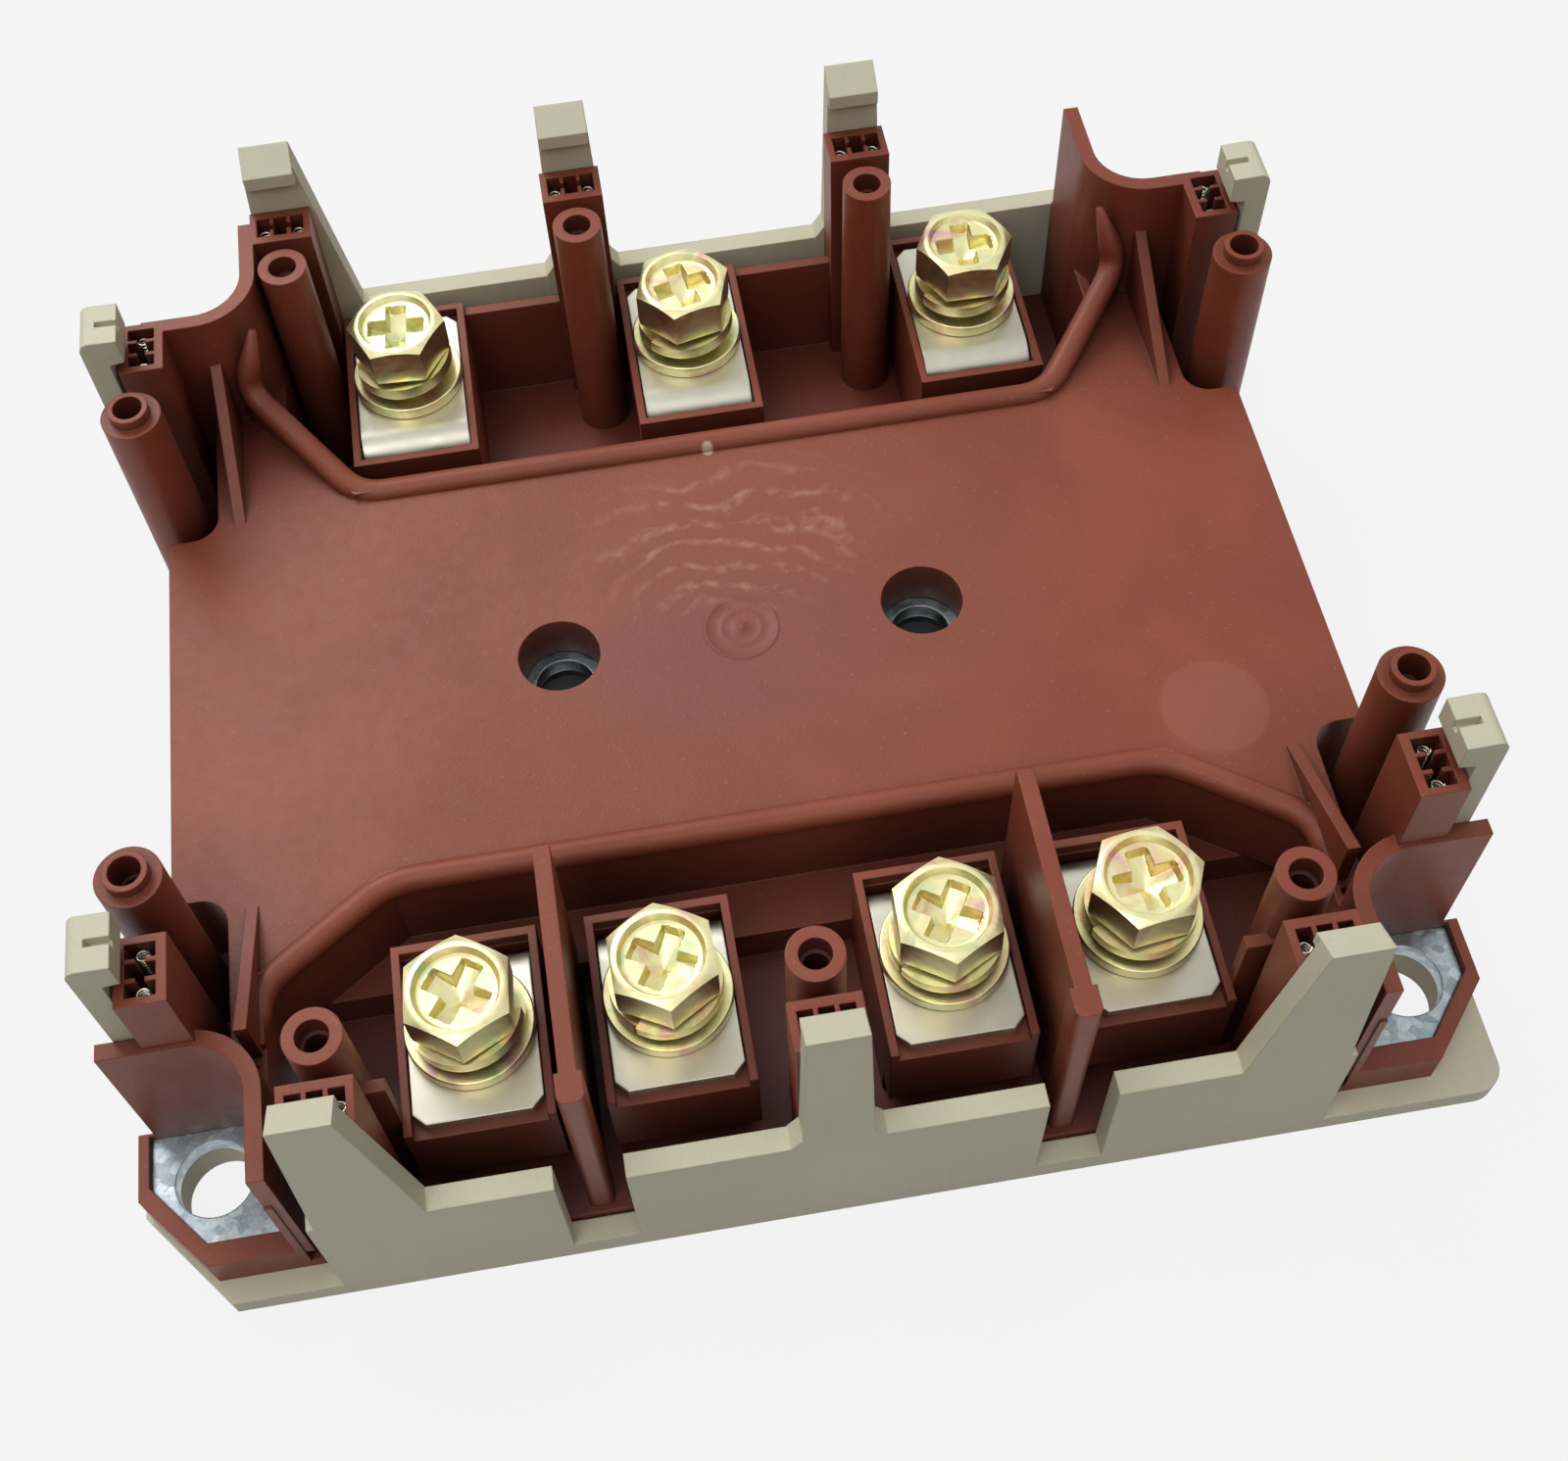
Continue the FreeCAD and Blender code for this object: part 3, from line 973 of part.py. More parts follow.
parts = [make_base_tray(), make_pressure_plate(), make_case_cover(), make_pressure_bridge(), make_pressure_pad(),
         make_busbar_dc("busbar_minus", (1, 3), "bus_low", MINUS_FEET, PLUS_FEET),
         make_busbar_dc("busbar_plus", (0, 2), LAMINATE, PLUS_FEET, ()),
         make_busbar_insulation(), make_temperature_sensor(), make_contact_springs(),
         make_chips("igbt_chips", "chip_size", [(signed(side, "chip_x"), "chip_y") for side in SIDES]),
         make_chips("diode_chips", "diode_size", [(signed(side, "diode_x"), "-diode_y") for side in SIDES])]
for phase, step in (("u", -1), ("v", 0), ("w", 1)):
    parts.append(make_busbar_ac(f"busbar_ac_{phase}", step))
    parts.append(make_substrate(f"substrate_{phase}", step))
HEAD_TURNS = ("12", "38", "25", "-8", "52", "30", "20")
for number, ((x, y), turn) in enumerate(zip(AC_ROW + DC_ROW, HEAD_TURNS), start=1):
    parts.append(make_screw(f"terminal_screw_{number}", x, y, turn))
    parts.append(make_spring_washer(f"spring_washer_{number}", x, y, turn))
    parts.append(make_ring(f"plain_washer_{number}", x, y, "washer_r", "washer_bore", "washer_thick", TAB_TOP))
    parts.append(make_nut(f"terminal_nut_{number}", x, y))

doc.recompute()
failed = [item.Name for item in doc.Objects if {"Invalid", "Error"} & set(item.State)]
if failed:
    raise RuntimeError(f"failed objects: {failed}")
os.makedirs("parts", exist_ok=True)
for body in parts:
    if body.Shape.isNull() or not body.Shape.isValid() or not body.Shape.Solids:
        raise RuntimeError(f"bad shape: {body.Label}")
    body.Shape.exportStep(os.path.join("parts", f"{body.Label}.step"))
    print(f"{body.Label}: {len(body.Shape.Solids)} solids, {body.Shape.Volume:.1f} mm3")
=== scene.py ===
"""Looks of a power semiconductor module with seven screw terminals.

Metres, +Z up, X to the right and Y to the back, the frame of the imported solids. The file goes through
the module as it is put together: view and light, tray, plate, housing, busbars, fixings, inner parts.
"""
import math

import bmesh
import bpy
import numpy as np
from mathutils import Matrix, Vector


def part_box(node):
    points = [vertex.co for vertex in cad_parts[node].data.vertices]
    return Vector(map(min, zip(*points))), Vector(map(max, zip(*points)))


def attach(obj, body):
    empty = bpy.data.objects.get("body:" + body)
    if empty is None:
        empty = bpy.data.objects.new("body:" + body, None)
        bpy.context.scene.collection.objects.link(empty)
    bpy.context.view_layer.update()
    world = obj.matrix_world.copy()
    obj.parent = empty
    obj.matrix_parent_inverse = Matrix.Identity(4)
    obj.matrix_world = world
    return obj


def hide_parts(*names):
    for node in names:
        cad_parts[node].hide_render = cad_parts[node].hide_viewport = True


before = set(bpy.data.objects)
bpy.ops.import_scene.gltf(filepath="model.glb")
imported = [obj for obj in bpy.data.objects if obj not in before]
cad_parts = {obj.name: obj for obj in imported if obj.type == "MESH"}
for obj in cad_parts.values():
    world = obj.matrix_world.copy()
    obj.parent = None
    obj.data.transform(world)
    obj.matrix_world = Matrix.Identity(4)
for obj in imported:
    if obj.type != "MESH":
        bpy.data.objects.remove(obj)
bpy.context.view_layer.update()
mm = 0.001

# View and light
# The camera stands in front of the DC terminals and looks down on the lid, a little from the left.
# Its place in millimetres, its angles in degrees and its lens come from the photograph's own perspective.
eye_place = (-11.72, -124.76, 204.33)
look_down, look_right, roll_left = 57.908, 5.787, 3.983
lens_pixels, picture_width, film_width = 2062.4, 1600, 36
axis_right, axis_up = -29.5, 27.1
camera = bpy.data.objects.new("camera", bpy.data.cameras.new("camera"))
bpy.context.scene.collection.objects.link(camera)
camera.location = Vector(eye_place) * mm
down, right = math.radians(look_down), math.radians(look_right)
ahead = Vector((math.sin(right) * math.cos(down), math.cos(right) * math.cos(down), -math.sin(down)))
level = ahead.cross(Vector((0, 0, 1))).normalized()
across = Matrix.Rotation(math.radians(-roll_left), 3, -ahead) @ level
upward = across.cross(ahead)
camera.rotation_mode = "QUATERNION"
camera.rotation_quaternion = Matrix((across, upward, -ahead)).transposed().to_quaternion()
camera.data.sensor_width = film_width
camera.data.lens = lens_pixels * film_width / picture_width
camera.data.shift_x = -axis_right / picture_width
camera.data.shift_y = -axis_up / picture_width
camera.data.clip_start = 10 * mm
bpy.context.scene.camera = camera
bpy.context.scene.view_settings.view_transform = "Standard"

lamp_aim = (0, 0, 20 * mm)


def add_lamp(name, place, size, power):
    """A square area lamp, size metres wide and of power watts, that faces the middle of the lid."""
    light = bpy.data.lights.new(name, "AREA")
    light.size, light.energy = size, power
    lamp = bpy.data.objects.new(name, light)
    bpy.context.scene.collection.objects.link(lamp)
    lamp.location = place
    lamp.rotation_mode = "QUATERNION"
    lamp.rotation_quaternion = (Vector(lamp_aim) - Vector(place)).to_track_quat("-Z", "Y")


add_lamp("back_lamp", (-0.22, 0.4, 0.5), 0.35, 1.8)
add_lamp("front_lamp", (-0.2, -0.3, 0.6), 0.25, 0.7)


# Studio
# White paper under the module and a white room round it. The camera and the reflections see both as
# white, while their light on the module comes from above and is weaker, so pale surfaces keep their colour.
def add_node(tree, kind, settings):
    """Add one shader node. Its settings are properties, input values, or outputs to link to its inputs."""
    node = tree.nodes.new(kind)
    for name, value in settings.items():
        if isinstance(value, bpy.types.NodeSocket):
            tree.links.new(value, node.inputs[name])
        elif isinstance(name, str) and hasattr(node, name):
            setattr(node, name, value)
        else:
            node.inputs[name].default_value = value
    return node


def linear(code, alpha=1.0):
    """An sRGB hex colour as linear light: each channel c becomes ((c + 0.055) / 1.055) to the power 2.4."""
    channels = [int(code[start:start + 2], 16) / 255 for start in (1, 3, 5)]
    return tuple(c / 12.92 if c <= 0.04045 else ((c + 0.055) / 1.055) ** 2.4 for c in channels) + (alpha,)


def spread(tree, value, low, high, new_low=0.0, new_high=1.0, smooth=False):
    """Low..high carried to new_low..new_high and cut off there: a straight line or 3 u^2 - 2 u^3."""
    way = "SMOOTHSTEP" if smooth else "LINEAR"
    return add_node(tree, "ShaderNodeMapRange", {
        "interpolation_type": way, "Value": value, "From Min": low, "From Max": high, "To Min": new_low,
        "To Max": new_high}).outputs["Result"]


def reckon(tree, operation, first, second, clamp=False):
    """One sum, product or other operation on two values."""
    return add_node(tree, "ShaderNodeMath", {"operation": operation, "use_clamp": clamp, 0: first,
                                             1: second}).outputs[0]


def seen_as_white(tree):
    """1 for the rays of camera, reflections and glass: camera + glossy + transmission, at most 1."""
    ray = add_node(tree, "ShaderNodeLightPath", {}).outputs
    seen = reckon(tree, "ADD", ray["Is Camera Ray"], ray["Is Glossy Ray"])
    return reckon(tree, "ADD", seen, ray["Is Transmission Ray"], clamp=True)


# Light by height: none but wall_light up to walls_end, and all of the ceiling's from ceiling_start,
# both as shares of straight up.
ceiling, wall_light, walls_end, ceiling_start = 0.92, 0.05, 0.4, 0.8
world = bpy.data.worlds.new("studio")
world.use_nodes = True
bpy.context.scene.world = world
room = world.node_tree
way_out = add_node(room, "ShaderNodeTexCoord", {}).outputs["Generated"]
height = add_node(room, "ShaderNodeSeparateXYZ", {0: way_out}).outputs["Z"]
from_above = spread(room, height, walls_end, ceiling_start, wall_light, ceiling, smooth=True)
background = room.nodes["Background"].inputs
background["Color"].default_value = linear("#FFFFFF")
room.links.new(reckon(room, "MAXIMUM", seen_as_white(room), from_above), background["Strength"])

# The paper is grey to the light and nearly white to the eye, and it keeps the module's shadow.
paper_reach, paper_gap, paper_white = 2.0, 0.1 * mm, 0.86
corners = [(x * paper_reach, y * paper_reach, 0) for x, y in ((-1, -1), (1, -1), (1, 1), (-1, 1))]
floor_mesh = bpy.data.meshes.new("floor")
floor_mesh.from_pydata(corners, [], [(0, 1, 2, 3)])
floor = bpy.data.objects.new("floor", floor_mesh)
floor.location.z = -paper_gap
bpy.context.scene.collection.objects.link(floor)
paper = bpy.data.materials.new("white_paper")
paper.use_nodes = True
sheet = paper.node_tree
matt = sheet.nodes["Principled BSDF"]
matt.inputs["Base Color"].default_value = linear("#9C9C9A")
matt.inputs["Roughness"].default_value = 0.9
white = add_node(sheet, "ShaderNodeEmission", {"Color": linear("#FFFFFF"), "Strength": 1.0})
share_white = reckon(sheet, "MULTIPLY", seen_as_white(sheet), paper_white)
blend = add_node(sheet, "ShaderNodeMixShader", {0: share_white, 1: matt.outputs[0], 2: white.outputs[0]})
sheet.links.new(blend.outputs[0], sheet.nodes["Material Output"].inputs["Surface"])
floor_mesh.materials.append(paper)


# Tray
# Injection moulding in cream glass-filled polyester, with ten snap arms that hold the driver board.
# Its surface is matt, with glass fibre marks that run up the walls the way the mould filled.
def start_material(name, **sockets):
    """A material with its shader's constants set, and object coordinates counted in millimetres."""
    material = bpy.data.materials.new(name)
    material.use_nodes = True
    tree = material.node_tree
    shader = tree.nodes["Principled BSDF"]
    for socket, value in sockets.items():
        shader.inputs[socket.replace("_", " ")].default_value = value
    place = add_node(tree, "ShaderNodeTexCoord", {}).outputs["Object"]
    counted = add_node(tree, "ShaderNodeVectorMath", {"operation": "SCALE", "Scale": 1000.0, 0: place})
    return material, tree, shader, counted.outputs["Vector"]


def stretched(tree, point, size):
    """The point counted in a pattern's spot sizes along X, Y and Z, in millimetres."""
    scale = tuple(1 / part for part in size)
    return add_node(tree, "ShaderNodeMapping", {"Scale": scale, "Vector": point}).outputs["Vector"]


def noise(tree, point, size, detail, **more):
    """A cloudy pattern around 0.5, with spots of that size and detail rounds of finer ones."""
    return add_node(tree, "ShaderNodeTexNoise", {"Scale": 1 / size, "Detail": detail, "Vector": point,
                                                 **more}).outputs["Fac"]


def mix(tree, first, second, share, **more):
    """The colour that lies share of the way from first to second, each a hex code or an output."""
    first, second = (linear(part) if isinstance(part, str) else part for part in (first, second))
    return add_node(tree, "ShaderNodeMixRGB", {"Fac": share, "Color1": first, "Color2": second,
                                               **more}).outputs["Color"]


def give(tree, shader, colour, roughness=None):
    """Link the shader's colour and, where it varies, its roughness."""
    tree.links.new(colour, shader.inputs["Base Color"])
    if roughness:
        tree.links.new(roughness, shader.inputs["Roughness"])


moulded_edge = 0.25 * mm


def add_bump(tree, shader, height, depth, soften=moulded_edge):
    """Relief: the height pattern raised by depth metres, over edges softened by a radius in metres."""
    settings = {"Distance": depth, "Strength": 1.0, "Height": height}
    if soften:
        edge = add_node(tree, "ShaderNodeBevel", {"samples": 6, "Radius": soften})
        settings["Normal"] = edge.outputs["Normal"]
    relief = add_node(tree, "ShaderNodeBump", settings)
    tree.links.new(relief.outputs["Normal"], shader.inputs["Normal"])


def dress(name, material, soften=0.0, sharp=28.0, reshape=None):
    """A copy of a solid with its doubles merged and shaded smooth up to the sharp angle in degrees.

    Where soften is set, its edges are rounded by that many metres. Reshape moves the points of the copy:
    it takes and gives them as an array in millimetres.
    """
    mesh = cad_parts[name].data.copy()
    mesh.name = f"{name}_dressed"
    shape = bmesh.new()
    shape.from_mesh(mesh)
    bmesh.ops.remove_doubles(shape, verts=shape.verts, dist=1e-6)
    for face in shape.faces:
        face.smooth = True
    shape.to_mesh(mesh)
    shape.free()
    if reshape:
        points = np.empty(3 * len(mesh.vertices))
        mesh.vertices.foreach_get("co", points)
        mesh.vertices.foreach_set("co", reshape(points.reshape(-1, 3) / mm).ravel() * mm)
        mesh.update()
    if "custom_normal" in mesh.attributes:
        mesh.attributes.remove(mesh.attributes["custom_normal"])
    mesh.set_sharp_from_angle(angle=math.radians(sharp))
    mesh.materials.clear()
    mesh.materials.append(material)
    piece = bpy.data.objects.new(f"{name}_dressed", mesh)
    bpy.context.scene.collection.objects.link(piece)
    if soften:
        rounding = piece.modifiers.new("rounded_edges", "BEVEL")
        rounding.width, rounding.segments = soften, 2
        rounding.limit_method, rounding.angle_limit = "ANGLE", math.radians(sharp)
        rounding.harden_normals = True
    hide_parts(name)
    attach(piece, "root")
    return piece


flow_size, streak_size, speck_size = 18.0, (0.9, 0.9, 16.0), 0.35
cream, tree, shader, point = start_material("cream_moulded_polyester", Roughness=0.55, IOR=1.55,
                                            Specular_IOR_Level=0.3)
cloud = noise(tree, point, flow_size, 4.0)
streak = noise(tree, stretched(tree, point, streak_size), 1.0, 3.0, Roughness=0.6)
speck = noise(tree, point, speck_size, 2.0)
colour = mix(tree, "#C3BEA3", "#D2CDB6", cloud)
colour = mix(tree, colour, "#B4B59E", spread(tree, streak, 0.5, 0.75, 0.0, 0.16))
colour = mix(tree, colour, "#A9A691", spread(tree, speck, 0.62, 0.72, 0.0, 0.25))
give(tree, shader, colour)
add_bump(tree, shader, speck, 0.03 * mm)


def lead_in(points):
    """Slope the top of each front and back head inwards, so that a board slides past its ridge.

    The height falls by slope times the distance from the ridge: z - slope (ridge - |y|).
    """
    under_top, outside, ridge, slope = 44.0, 56.0, 59.5, 0.55
    deep = np.abs(points[:, 1])
    head = (points[:, 2] > under_top) & (deep > outside)
    points[head, 2] -= slope * (ridge - deep[head])
    return points


dress("base_tray", cream, reshape=lead_in)

# Pressure plate
# Pressed sheet steel, hot-dip galvanised: zinc crystals about a millimetre wide shade it grey-blue,
# and the roughness changes from crystal to crystal, which makes them glint apart.
crystal, crack = 1.2, 0.5
zinc, tree, shader, point = start_material("galvanised_steel", Metallic=1.0)
grain = add_node(tree, "ShaderNodeTexVoronoi", {"Scale": 1 / crystal, "Vector": point}).outputs["Color"]
tone = add_node(tree, "ShaderNodeSeparateColor", {"Color": grain}).outputs
frost = noise(tree, point, crack, 3.0)
colour = mix(tree, "#8D9AA1", "#B9C3C8", tone["Red"])
colour = mix(tree, colour, frost, 0.3, blend_type="OVERLAY")
give(tree, shader, colour, spread(tree, tone["Green"], 0.0, 1.0, 0.28, 0.5))
add_bump(tree, shader, frost, 0.02 * mm)
dress("pressure_plate", zinc)

# Housing
# One injection moulding in red-brown glass-filled plastic: lid, wells, ribs, walls and posts.
# The lid shows pale flow lines round the gate in its middle and a few paler patches, and round the gate a
# painted sheen: a lighter oval with a purple cast, painted reflection.
# Down in the wells and between the ribs the occlusion node darkens the colour: painted shade, where little
# light reaches.
cloud_size, grain_size, fleck_size, painted_shade_reach = 26.0, 0.4, 1.6, 14.0
moulded, tree, shader, point = start_material("brown_moulded_plastic", IOR=1.5, Specular_IOR_Level=0.35)
cloud = noise(tree, point, cloud_size, 5.0, Roughness=0.55, Distortion=0.8)
grain = noise(tree, point, grain_size, 2.0)
fleck = noise(tree, point, fleck_size, 3.0)
colour = mix(tree, "#803D2A", "#8C4732", spread(tree, cloud, 0.35, 0.65))


def lid_patch(centre, radius, edge, squeeze):
    """How much of a patch on the lid covers a point: 1 inside radius, 0 beyond it by edge.

    The distance is that from the centre with Y multiplied by squeeze, which makes the patch an oval.
    """
    moved = add_node(tree, "ShaderNodeMapping", {
        "Location": (-centre[0], -centre[1] * squeeze, 0), "Scale": (1, squeeze, 0), "Vector": point})
    away = add_node(tree, "ShaderNodeVectorMath", {"operation": "LENGTH", 0: moved.outputs["Vector"]})
    return spread(tree, away.outputs["Value"], radius, radius + edge, 1.0, 0.0, smooth=True)


def tint(base, code, cover, amount):
    """Lay a colour over the base where cover is 1, as strongly as amount says."""
    return mix(tree, base, code, reckon(tree, "MULTIPLY", cover, amount))


# Each patch: centre, radius, edge, squeeze, colour and amount. First the painted sheen round the gate: a
# lighter oval and a purple cast that stand in for reflected light.
for *patch, code, amount in (((1.0, 3.0), 14.0, 26.0, 1.3, "#8A5140", 0.35),
                             ((0.0, -3.0), 13.0, 9.0, 1.7, "#7A444A", 0.3)):
    colour = tint(colour, code, lid_patch(*patch), amount)

# Flow lines: distorted rings round the gate, seen only behind it and broken up by the flecks.
ring_centre, ring_scale, ring_squeeze, ring_distortion = (1.5, 2.0, 0), 0.1, (0.8, 1.0, 0), 16.0
flat = add_node(tree, "ShaderNodeMapping", {"Location": ring_centre, "Scale": ring_squeeze, "Vector": point})
flow = add_node(tree, "ShaderNodeTexWave", {
    "wave_type": "RINGS", "rings_direction": "Z", "Scale": ring_scale, "Distortion": ring_distortion,
    "Detail": 3.0, "Detail Scale": 0.8, "Vector": flat.outputs["Vector"]})
swirl = reckon(tree, "MULTIPLY", spread(tree, flow.outputs["Fac"], 0.55, 1.0),
               lid_patch((1.0, 13.0), 8.0, 13.0, 1.5))
broken = reckon(tree, "MULTIPLY", swirl, spread(tree, fleck, 0.4, 0.7))
colour = tint(colour, "#B5886C", broken, 0.65)

# Then the pale disc on the right and the stray fleck at the back, and the fibre flecks all over.
for *patch, code, amount in (((47.9, -19.2), 5.4, 0.7, 1.0, "#A06555", 0.3),
                             ((0.0, 25.3), 0.4, 0.4, 1.0, "#D8BFA8", 0.8)):
    colour = tint(colour, code, lid_patch(*patch), amount)
colour = tint(colour, "#A87868", spread(tree, grain, 0.66, 0.74), 0.35)
# Painted shade: the occlusion node darkens the colour where walls stand close, in the wells and between the
# ribs.
painted_shade = add_node(tree, "ShaderNodeAmbientOcclusion", {"samples": 6, "Distance": painted_shade_reach * mm})
colour = mix(tree, colour, painted_shade.outputs["AO"], 0.7, blend_type="MULTIPLY")
give(tree, shader, colour, spread(tree, fleck, 0.3, 0.7, 0.42, 0.48))
add_bump(tree, shader, grain, 0.03 * mm)
dress("case_cover", moulded)


# Beads and rising ribs
# A half-round bead is moulded along the edge of each row of terminal wells. At the back it climbs the
# rising ribs and runs up the corner walls.
def put(name, vertices, faces, material):
    """A smooth piece from an array of points in metres and its faces."""
    mesh = bpy.data.meshes.new(name)
    mesh.from_pydata([tuple(row) for row in np.asarray(vertices).tolist()], [], faces)
    mesh.polygons.foreach_set("use_smooth", [True] * len(mesh.polygons))
    mesh.materials.append(material)
    mesh.update()
    piece = bpy.data.objects.new(name, mesh)
    bpy.context.scene.collection.objects.link(piece)
    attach(piece, "root")
    return piece


def grid_faces(rows, columns):
    """Quads between neighbouring points of a grid counted row by row, whose columns close into rings."""
    r, c = [part.ravel() for part in np.meshgrid(np.arange(rows - 1), np.arange(columns), indexing="ij")]
    after = (c + 1) % columns
    return np.stack([r * columns + c, r * columns + after, (r + 1) * columns + after,
                     (r + 1) * columns + c], axis=1).tolist()


def closed_tube_faces(rows, sides):
    """Quads along a tube of rows rings and one cap at each end."""
    last = rows * sides
    return grid_faces(rows, sides) + [list(range(sides))[::-1], list(range(last - sides, last))]


def rounded_path(corners, reach, steps=8):
    """A polyline with each corner replaced by a curve from a to b, which lie reach to each side of it.

    The curve is (1 - u)^2 a + 2 u (1 - u) corner + u^2 b.
    """
    corners = np.asarray(corners, float)
    ahead = corners[1:] - corners[:-1]
    ahead /= np.linalg.norm(ahead, axis=1)[:, None]
    u = np.linspace(0, 1, steps)[None, :, None]
    a, b = corners[1:-1] - reach * ahead[:-1], corners[1:-1] + reach * ahead[1:]
    bends = (1 - u) ** 2 * a[:, None] + 2 * u * (1 - u) * corners[1:-1, None] + u ** 2 * b[:, None]
    return np.concatenate([corners[:1], bends.reshape(-1, 3), corners[-1:]])


def tube(path, radius, sides):
    """Rings round a path: point + radius (cos b n + sin b m), n level and across it, m across both."""
    ahead = np.gradient(path, axis=0)
    ahead /= np.linalg.norm(ahead, axis=1)[:, None]
    across = np.cross(ahead, (0, 0, 1.0))
    across /= np.linalg.norm(across, axis=1)[:, None]
    over = np.cross(across, ahead)
    b = np.linspace(0, 2 * np.pi, sides, endpoint=False)[None, :, None]
    radius = np.broadcast_to(radius, len(path))[:, None, None]
    return (path[:, None] + radius * (np.cos(b) * across[:, None] + np.sin(b) * over[:, None])).reshape(-1, 3)


# The ends of a bead start at end_share of its radius and reach the whole within the fade, in millimetres.
bead_r, bend_reach, bead_sides, end_share = 1.45, 3.0, 20, 0.3
lid_line, rib_line, wall_line = 20.3, 25.6, 34.5
front_bead = [(-54.3, -40.4, lid_line), (-54.3, -34.1, lid_line), (-40.7, -24.4, lid_line),
              (40.7, -24.4, lid_line), (54.3, -34.1, lid_line), (54.3, -40.4, lid_line)]
back_bead = [(-49.2, 40.9, wall_line), (-52.0, 40.4, rib_line), (-40.7, 26.6, lid_line),
             (40.7, 26.6, lid_line), (52.0, 40.4, rib_line), (49.2, 40.9, wall_line)]
for title, bead, fade in (("front_bead", front_bead, 0.01), ("back_bead", back_bead, 9.0)):
    line = rounded_path(bead, bend_reach)
    run = np.concatenate([[0], np.cumsum(np.linalg.norm(np.diff(line, axis=0), axis=1))])
    whole = np.clip(end_share + np.minimum(run, run[-1] - run) / fade, 0, 1)
    points = tube(line, bead_r * whole, bead_sides)
    put(title, points * mm, closed_tube_faces(len(line), bead_sides), moulded)

# Gate mark
# Where the plastic entered the mould: two low rings and the broken-off stub in the middle of the lid.
# A profile of radii and heights, in millimetres, turned about Z.
lid_high, gate_steps = 20.5, 64
ring_r = np.array([0.3, 0.5, 2.0, 2.1, 2.3, 2.4, 3.8, 3.9, 4.15, 4.3])[:, None]
ring_z = lid_high + np.array([0.28, 0.03, 0.03, 0.07, 0.07, 0.03, 0.03, 0.12, 0.12, -0.05])[:, None]
angle = np.linspace(0, 2 * np.pi, gate_steps, endpoint=False)
gate_points = np.stack([ring_r * np.cos(angle), ring_r * np.sin(angle), ring_z + 0 * angle], axis=-1)
gate_faces = [face[::-1] for face in grid_faces(len(ring_r), gate_steps)] + [list(range(gate_steps))]
put("gate_mark", gate_points.reshape(-1, 3) * mm, gate_faces, moulded)

# Busbars and terminal tabs
# Rolled copper, tin-plated: a satin, warm grey with soft clouds, whose gloss changes with them, and
# very faint rolling lines along the strip.
line_size, cloud_size = (0.3, 7.0, 7.0), 3.2
tin, tree, shader, point = start_material("tinned_copper", Metallic=1.0)
lines = noise(tree, stretched(tree, point, line_size), 1.0, 3.0)
cloud = noise(tree, point, cloud_size, 4.0)
give(tree, shader, mix(tree, "#B4B0A0", "#D0CCBE", cloud), spread(tree, cloud, 0.35, 0.65, 0.32, 0.46))
add_bump(tree, shader, lines, 0.003 * mm)
for name in ("busbar_minus", "busbar_plus", "busbar_ac_u", "busbar_ac_v", "busbar_ac_w"):
    dress(name, tin)

# Screws, washers and nuts
# Steel, zinc-plated and yellow chromated: a thin film that turns from gold to pink and blue-green
# in patches a few millimetres wide, brightest on the screws' dished heads.
patch_size, scratch_size, washer_edge = 4.5, (3.0, 0.2, 1.0), 0.2 * mm
chromate, tree, shader, point = start_material("yellow_chromated_zinc", Metallic=1.0)
film = noise(tree, point, patch_size, 3.0, Distortion=1.2)
ramp = add_node(tree, "ShaderNodeValToRGB", {"Fac": film})
stops = ((0.26, "#B9CBA8"), (0.4, "#DFDAA4"), (0.5, "#E8E2B0"), (0.6, "#E2CFA0"), (0.7, "#D9B4A6"),
         (0.8, "#B9B0BC"))
while len(ramp.color_ramp.elements) < len(stops):
    ramp.color_ramp.elements.new(0.5)
for element, (where, code) in zip(ramp.color_ramp.elements, stops):
    element.position, element.color = where, linear(code)
scratch = noise(tree, stretched(tree, point, scratch_size), 1.0, 2.0)
give(tree, shader, ramp.outputs["Color"], spread(tree, scratch, 0.35, 0.7, 0.3, 0.42))
add_bump(tree, shader, scratch, 0.0015 * mm, soften=0.0)
for number in range(1, 8):
    dress(f"spring_washer_{number}", chromate, washer_edge)
    dress(f"plain_washer_{number}", chromate, washer_edge)
    dress(f"terminal_nut_{number}", chromate)

# Screws, in millimetres. The head is a hexagon of radius f / cos(angle from the nearest flat) under a
# cone, the chamfer, which meets it at meet_z. On it lie a rim, a dish and a cross recess that gets
# shallower outwards. Below, the shank is a thread.
flats, head_top, bevel_run, bevel_drop, bevel_in = 5.0, 4.9, 5.1, 2.6, 0.1
rim_out, rim_in, rim_high, dish_deep = 4.75, 4.15, 0.1, 0.7
cross_half, cross_reach, cross_deep, cross_wall = 0.95, 3.1, 2.6, 0.22
thread_r, thread_pitch, thread_deep, screw_long = 2.95, 1.0, 0.5, 16.0
steps, dish_rows, thread_rows = 180, 34, 150
screw_turns = (-4, 13, -1, -34, -29, -33, 6)
angle = np.linspace(0, 2 * np.pi, steps, endpoint=False)
hexagon = flats / np.cos(np.mod(angle, np.pi / 3) - np.pi / 6)


def smooth_step(x, low, high):
    """0 below low, 1 above high, and 3 u^2 - 2 u^3 between them."""
    u = np.clip((x - low) / (high - low), 0, 1)
    return u * u * (3 - 2 * u)


def bar_cover(along, aside):
    """1 inside one bar of the cross, falling to 0 within the slope of its walls."""
    inside = smooth_step(-np.abs(aside), -cross_half - cross_wall, -cross_half)
    return inside * smooth_step(-np.abs(along), -cross_reach - cross_wall, -cross_reach)


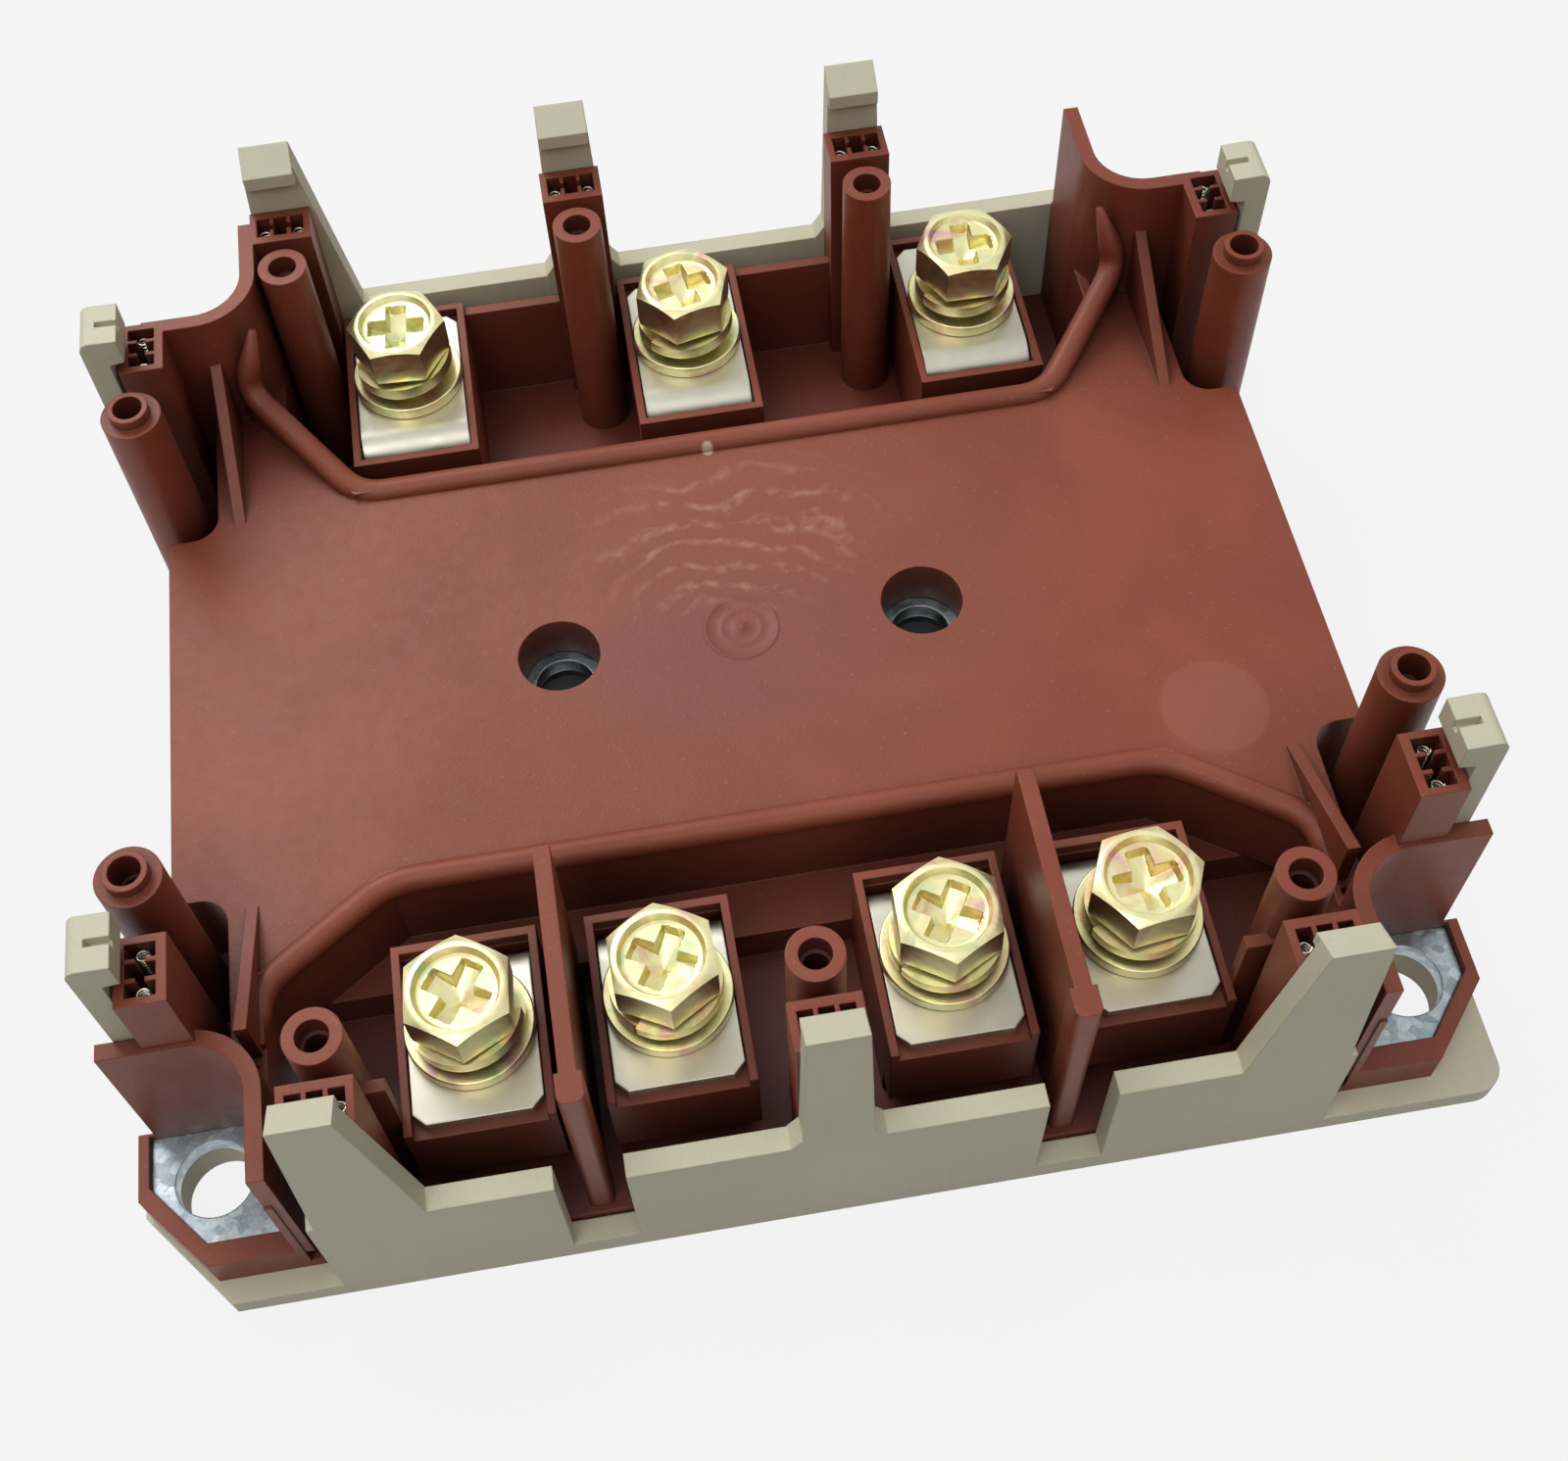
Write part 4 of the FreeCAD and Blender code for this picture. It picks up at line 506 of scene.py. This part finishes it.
meet_z = head_top - (hexagon - flats + bevel_in) * bevel_drop / bevel_run
side_z = np.concatenate([np.linspace(0, 1, 5)[:, None] * meet_z,
                         meet_z + np.linspace(0, 1, 8)[1:, None] * (head_top - meet_z)])
side_r = np.minimum(hexagon, flats - bevel_in + bevel_run / bevel_drop * (head_top - side_z))
side_r[0] -= 0.12
dish_r = np.concatenate([[rim_out, rim_out - 0.15, rim_in + 0.15, rim_in, rim_in - 0.25],
                         np.linspace(rim_in - 0.5, 0.05, dish_rows)])
dish_z = head_top + np.concatenate([[0.06, rim_high, rim_high, -0.1, -0.9 * dish_deep],
                                    np.full(dish_rows, -dish_deep)])
x, y = dish_r[:, None] * np.cos(angle), dish_r[:, None] * np.sin(angle)
recess = np.maximum(bar_cover(y, x), bar_cover(x, y)) * cross_deep * (1 - 0.5 * np.hypot(x, y) / cross_reach)
shank_z = np.linspace(-screw_long, -0.02, thread_rows)
point_taper = smooth_step(shank_z, -screw_long, -screw_long + 0.8) * 0.25 + 0.75
groove = np.abs(np.mod(shank_z[:, None] / thread_pitch - angle[None, :] / (2 * np.pi), 1) * 2 - 1)
groove_deep = thread_deep * smooth_step(-shank_z, 2.0, 3.0)[:, None]
shank_r = thread_r * point_taper[:, None] - groove_deep * groove
rows_r = np.concatenate([np.full((1, steps), 0.02), shank_r, side_r, dish_r[:, None] + 0 * angle])
rows_z = np.concatenate([np.full((1, steps), -screw_long), shank_z[:, None] + 0 * angle, side_z,
                         dish_z[:, None] - recess])
screw = np.stack([rows_r * np.cos(angle), rows_r * np.sin(angle), rows_z], axis=-1).reshape(-1, 3)
screw_faces = closed_tube_faces(len(rows_r), steps)
for number, turn in enumerate(screw_turns, start=1):
    low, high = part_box(f"terminal_screw_{number}")
    middle = np.array([(low[0] + high[0]) / 2, (low[1] + high[1]) / 2, high[2] - head_top * mm])
    c, s = math.cos(math.radians(turn)), math.sin(math.radians(turn))
    placed = screw * mm @ np.array([[c, s, 0], [-s, c, 0], [0, 0, 1]]) + middle
    head = put(f"terminal_screw_{number}_turned", placed, screw_faces, chromate)
    head.data.set_sharp_from_angle(angle=math.radians(40))
    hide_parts(f"terminal_screw_{number}")

# Gate springs
# Silver-plated spring wire wound as compression springs, two in each spring post, whose ends glint in
# the slots. The plating has dulled in spots of half a millimetre.
dull_size = 0.5
silver, tree, shader, point = start_material("silver_plated_wire", Metallic=1.0)
dull = noise(tree, point, dull_size, 2.0)
give(tree, shader, mix(tree, "#B9B09C", "#E8E2D2", dull), spread(tree, dull, 0.0, 1.0, 0.2, 0.4))

# Each coil is a helix, in millimetres: a tube of the wire's radius round the path
# (R cos t, R sin t, rising by the pitch a turn).
wire_r, coil_r, pitch, coil_low, coil_high = 0.14, 0.6, 0.5, 28.0, 36.0
steps_a_turn, sides = 14, 6
coil_turns = (coil_high - coil_low) / pitch
t = np.linspace(0, 2 * np.pi * coil_turns, int(coil_turns * steps_a_turn))
path = np.stack([coil_r * np.cos(t), coil_r * np.sin(t), np.linspace(coil_low, coil_high, len(t))], axis=1)
outward = np.stack([np.cos(t), np.sin(t), 0 * t], axis=1)
b = np.linspace(0, 2 * np.pi, sides, endpoint=False)[None, :, None]
ring = outward[:, None] * np.cos(b) + np.array([0, 0, 1.0]) * np.sin(b)
coil = (path[:, None] + wire_r * ring).reshape(-1, 3)
coil_faces = [face[::-1] for face in closed_tube_faces(len(t), sides)]

# The spring posts stand in a front and a back row and in the four corners, each with two coils, half a
# pair apart along X or, in the corners, along Y.
half_pair, row_y, front_x, back_x = 1.95, 54.4, (-45.75, 0, 45.75), (-45.0, -11.0, 23.0)
corner_x, corner_y = 61.1, 38.4
posts = [((x, side * row_y), (half_pair, 0)) for side, row in ((-1, front_x), (1, back_x)) for x in row]
posts += [((x, y), (0, half_pair)) for x in (-corner_x, corner_x) for y in (-corner_y, corner_y)]
places = [(x + side * dx, y + side * dy, 0) for (x, y), (dx, dy) in posts for side in (-1, 1)]
points = np.concatenate([coil + np.array(place) for place in places]) * mm
faces = [[index + start for index in face]
         for start in range(0, len(points), len(coil)) for face in coil_faces]
springs = put("gate_springs", points, faces, silver)
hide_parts("contact_springs")

# Parts inside
# Hidden under the lid: substrates in white alumina, chips, sensor, film, the black bridge and its foam
# pad. Each row: material, slot, nodes, darker and lighter colour, size of its spots and roughness.
inside = (
    ("white_alumina", "ceramic", ("substrate_u", "substrate_v", "substrate_w"),
     "#E8E6DE", "#F2F1EC", 0.5, 0.35),
    ("metallised_silicon", "silicon", ("igbt_chips", "diode_chips"), "#5A6068", "#7C828C", 1.5, 0.3),
    ("glass_bead_sensor", "sensor", ("temperature_sensor",), "#1C1C20", "#2A2A30", 0.8, 0.2),
    ("amber_film", "film", ("busbar_insulation",), "#B57A2C", "#C98E3E", 4.0, 0.3),
    ("black_glass_filled_nylon", "bridge", ("pressure_bridge",), "#1B1B1D", "#29292C", 0.6, 0.55),
    ("silicone_foam", "foam", ("pressure_pad",), "#38383B", "#4C4C50", 0.4, 0.9))
for title, kind, nodes, dark, light, size, rough in inside:
    stuff, tree, shader, point = start_material(title, Roughness=rough)
    spots = noise(tree, point, size, 4.0)
    give(tree, shader, mix(tree, dark, light, spots))
    add_bump(tree, shader, spots, 0.02 * mm)
    for name in nodes:
        dress(name, stuff)
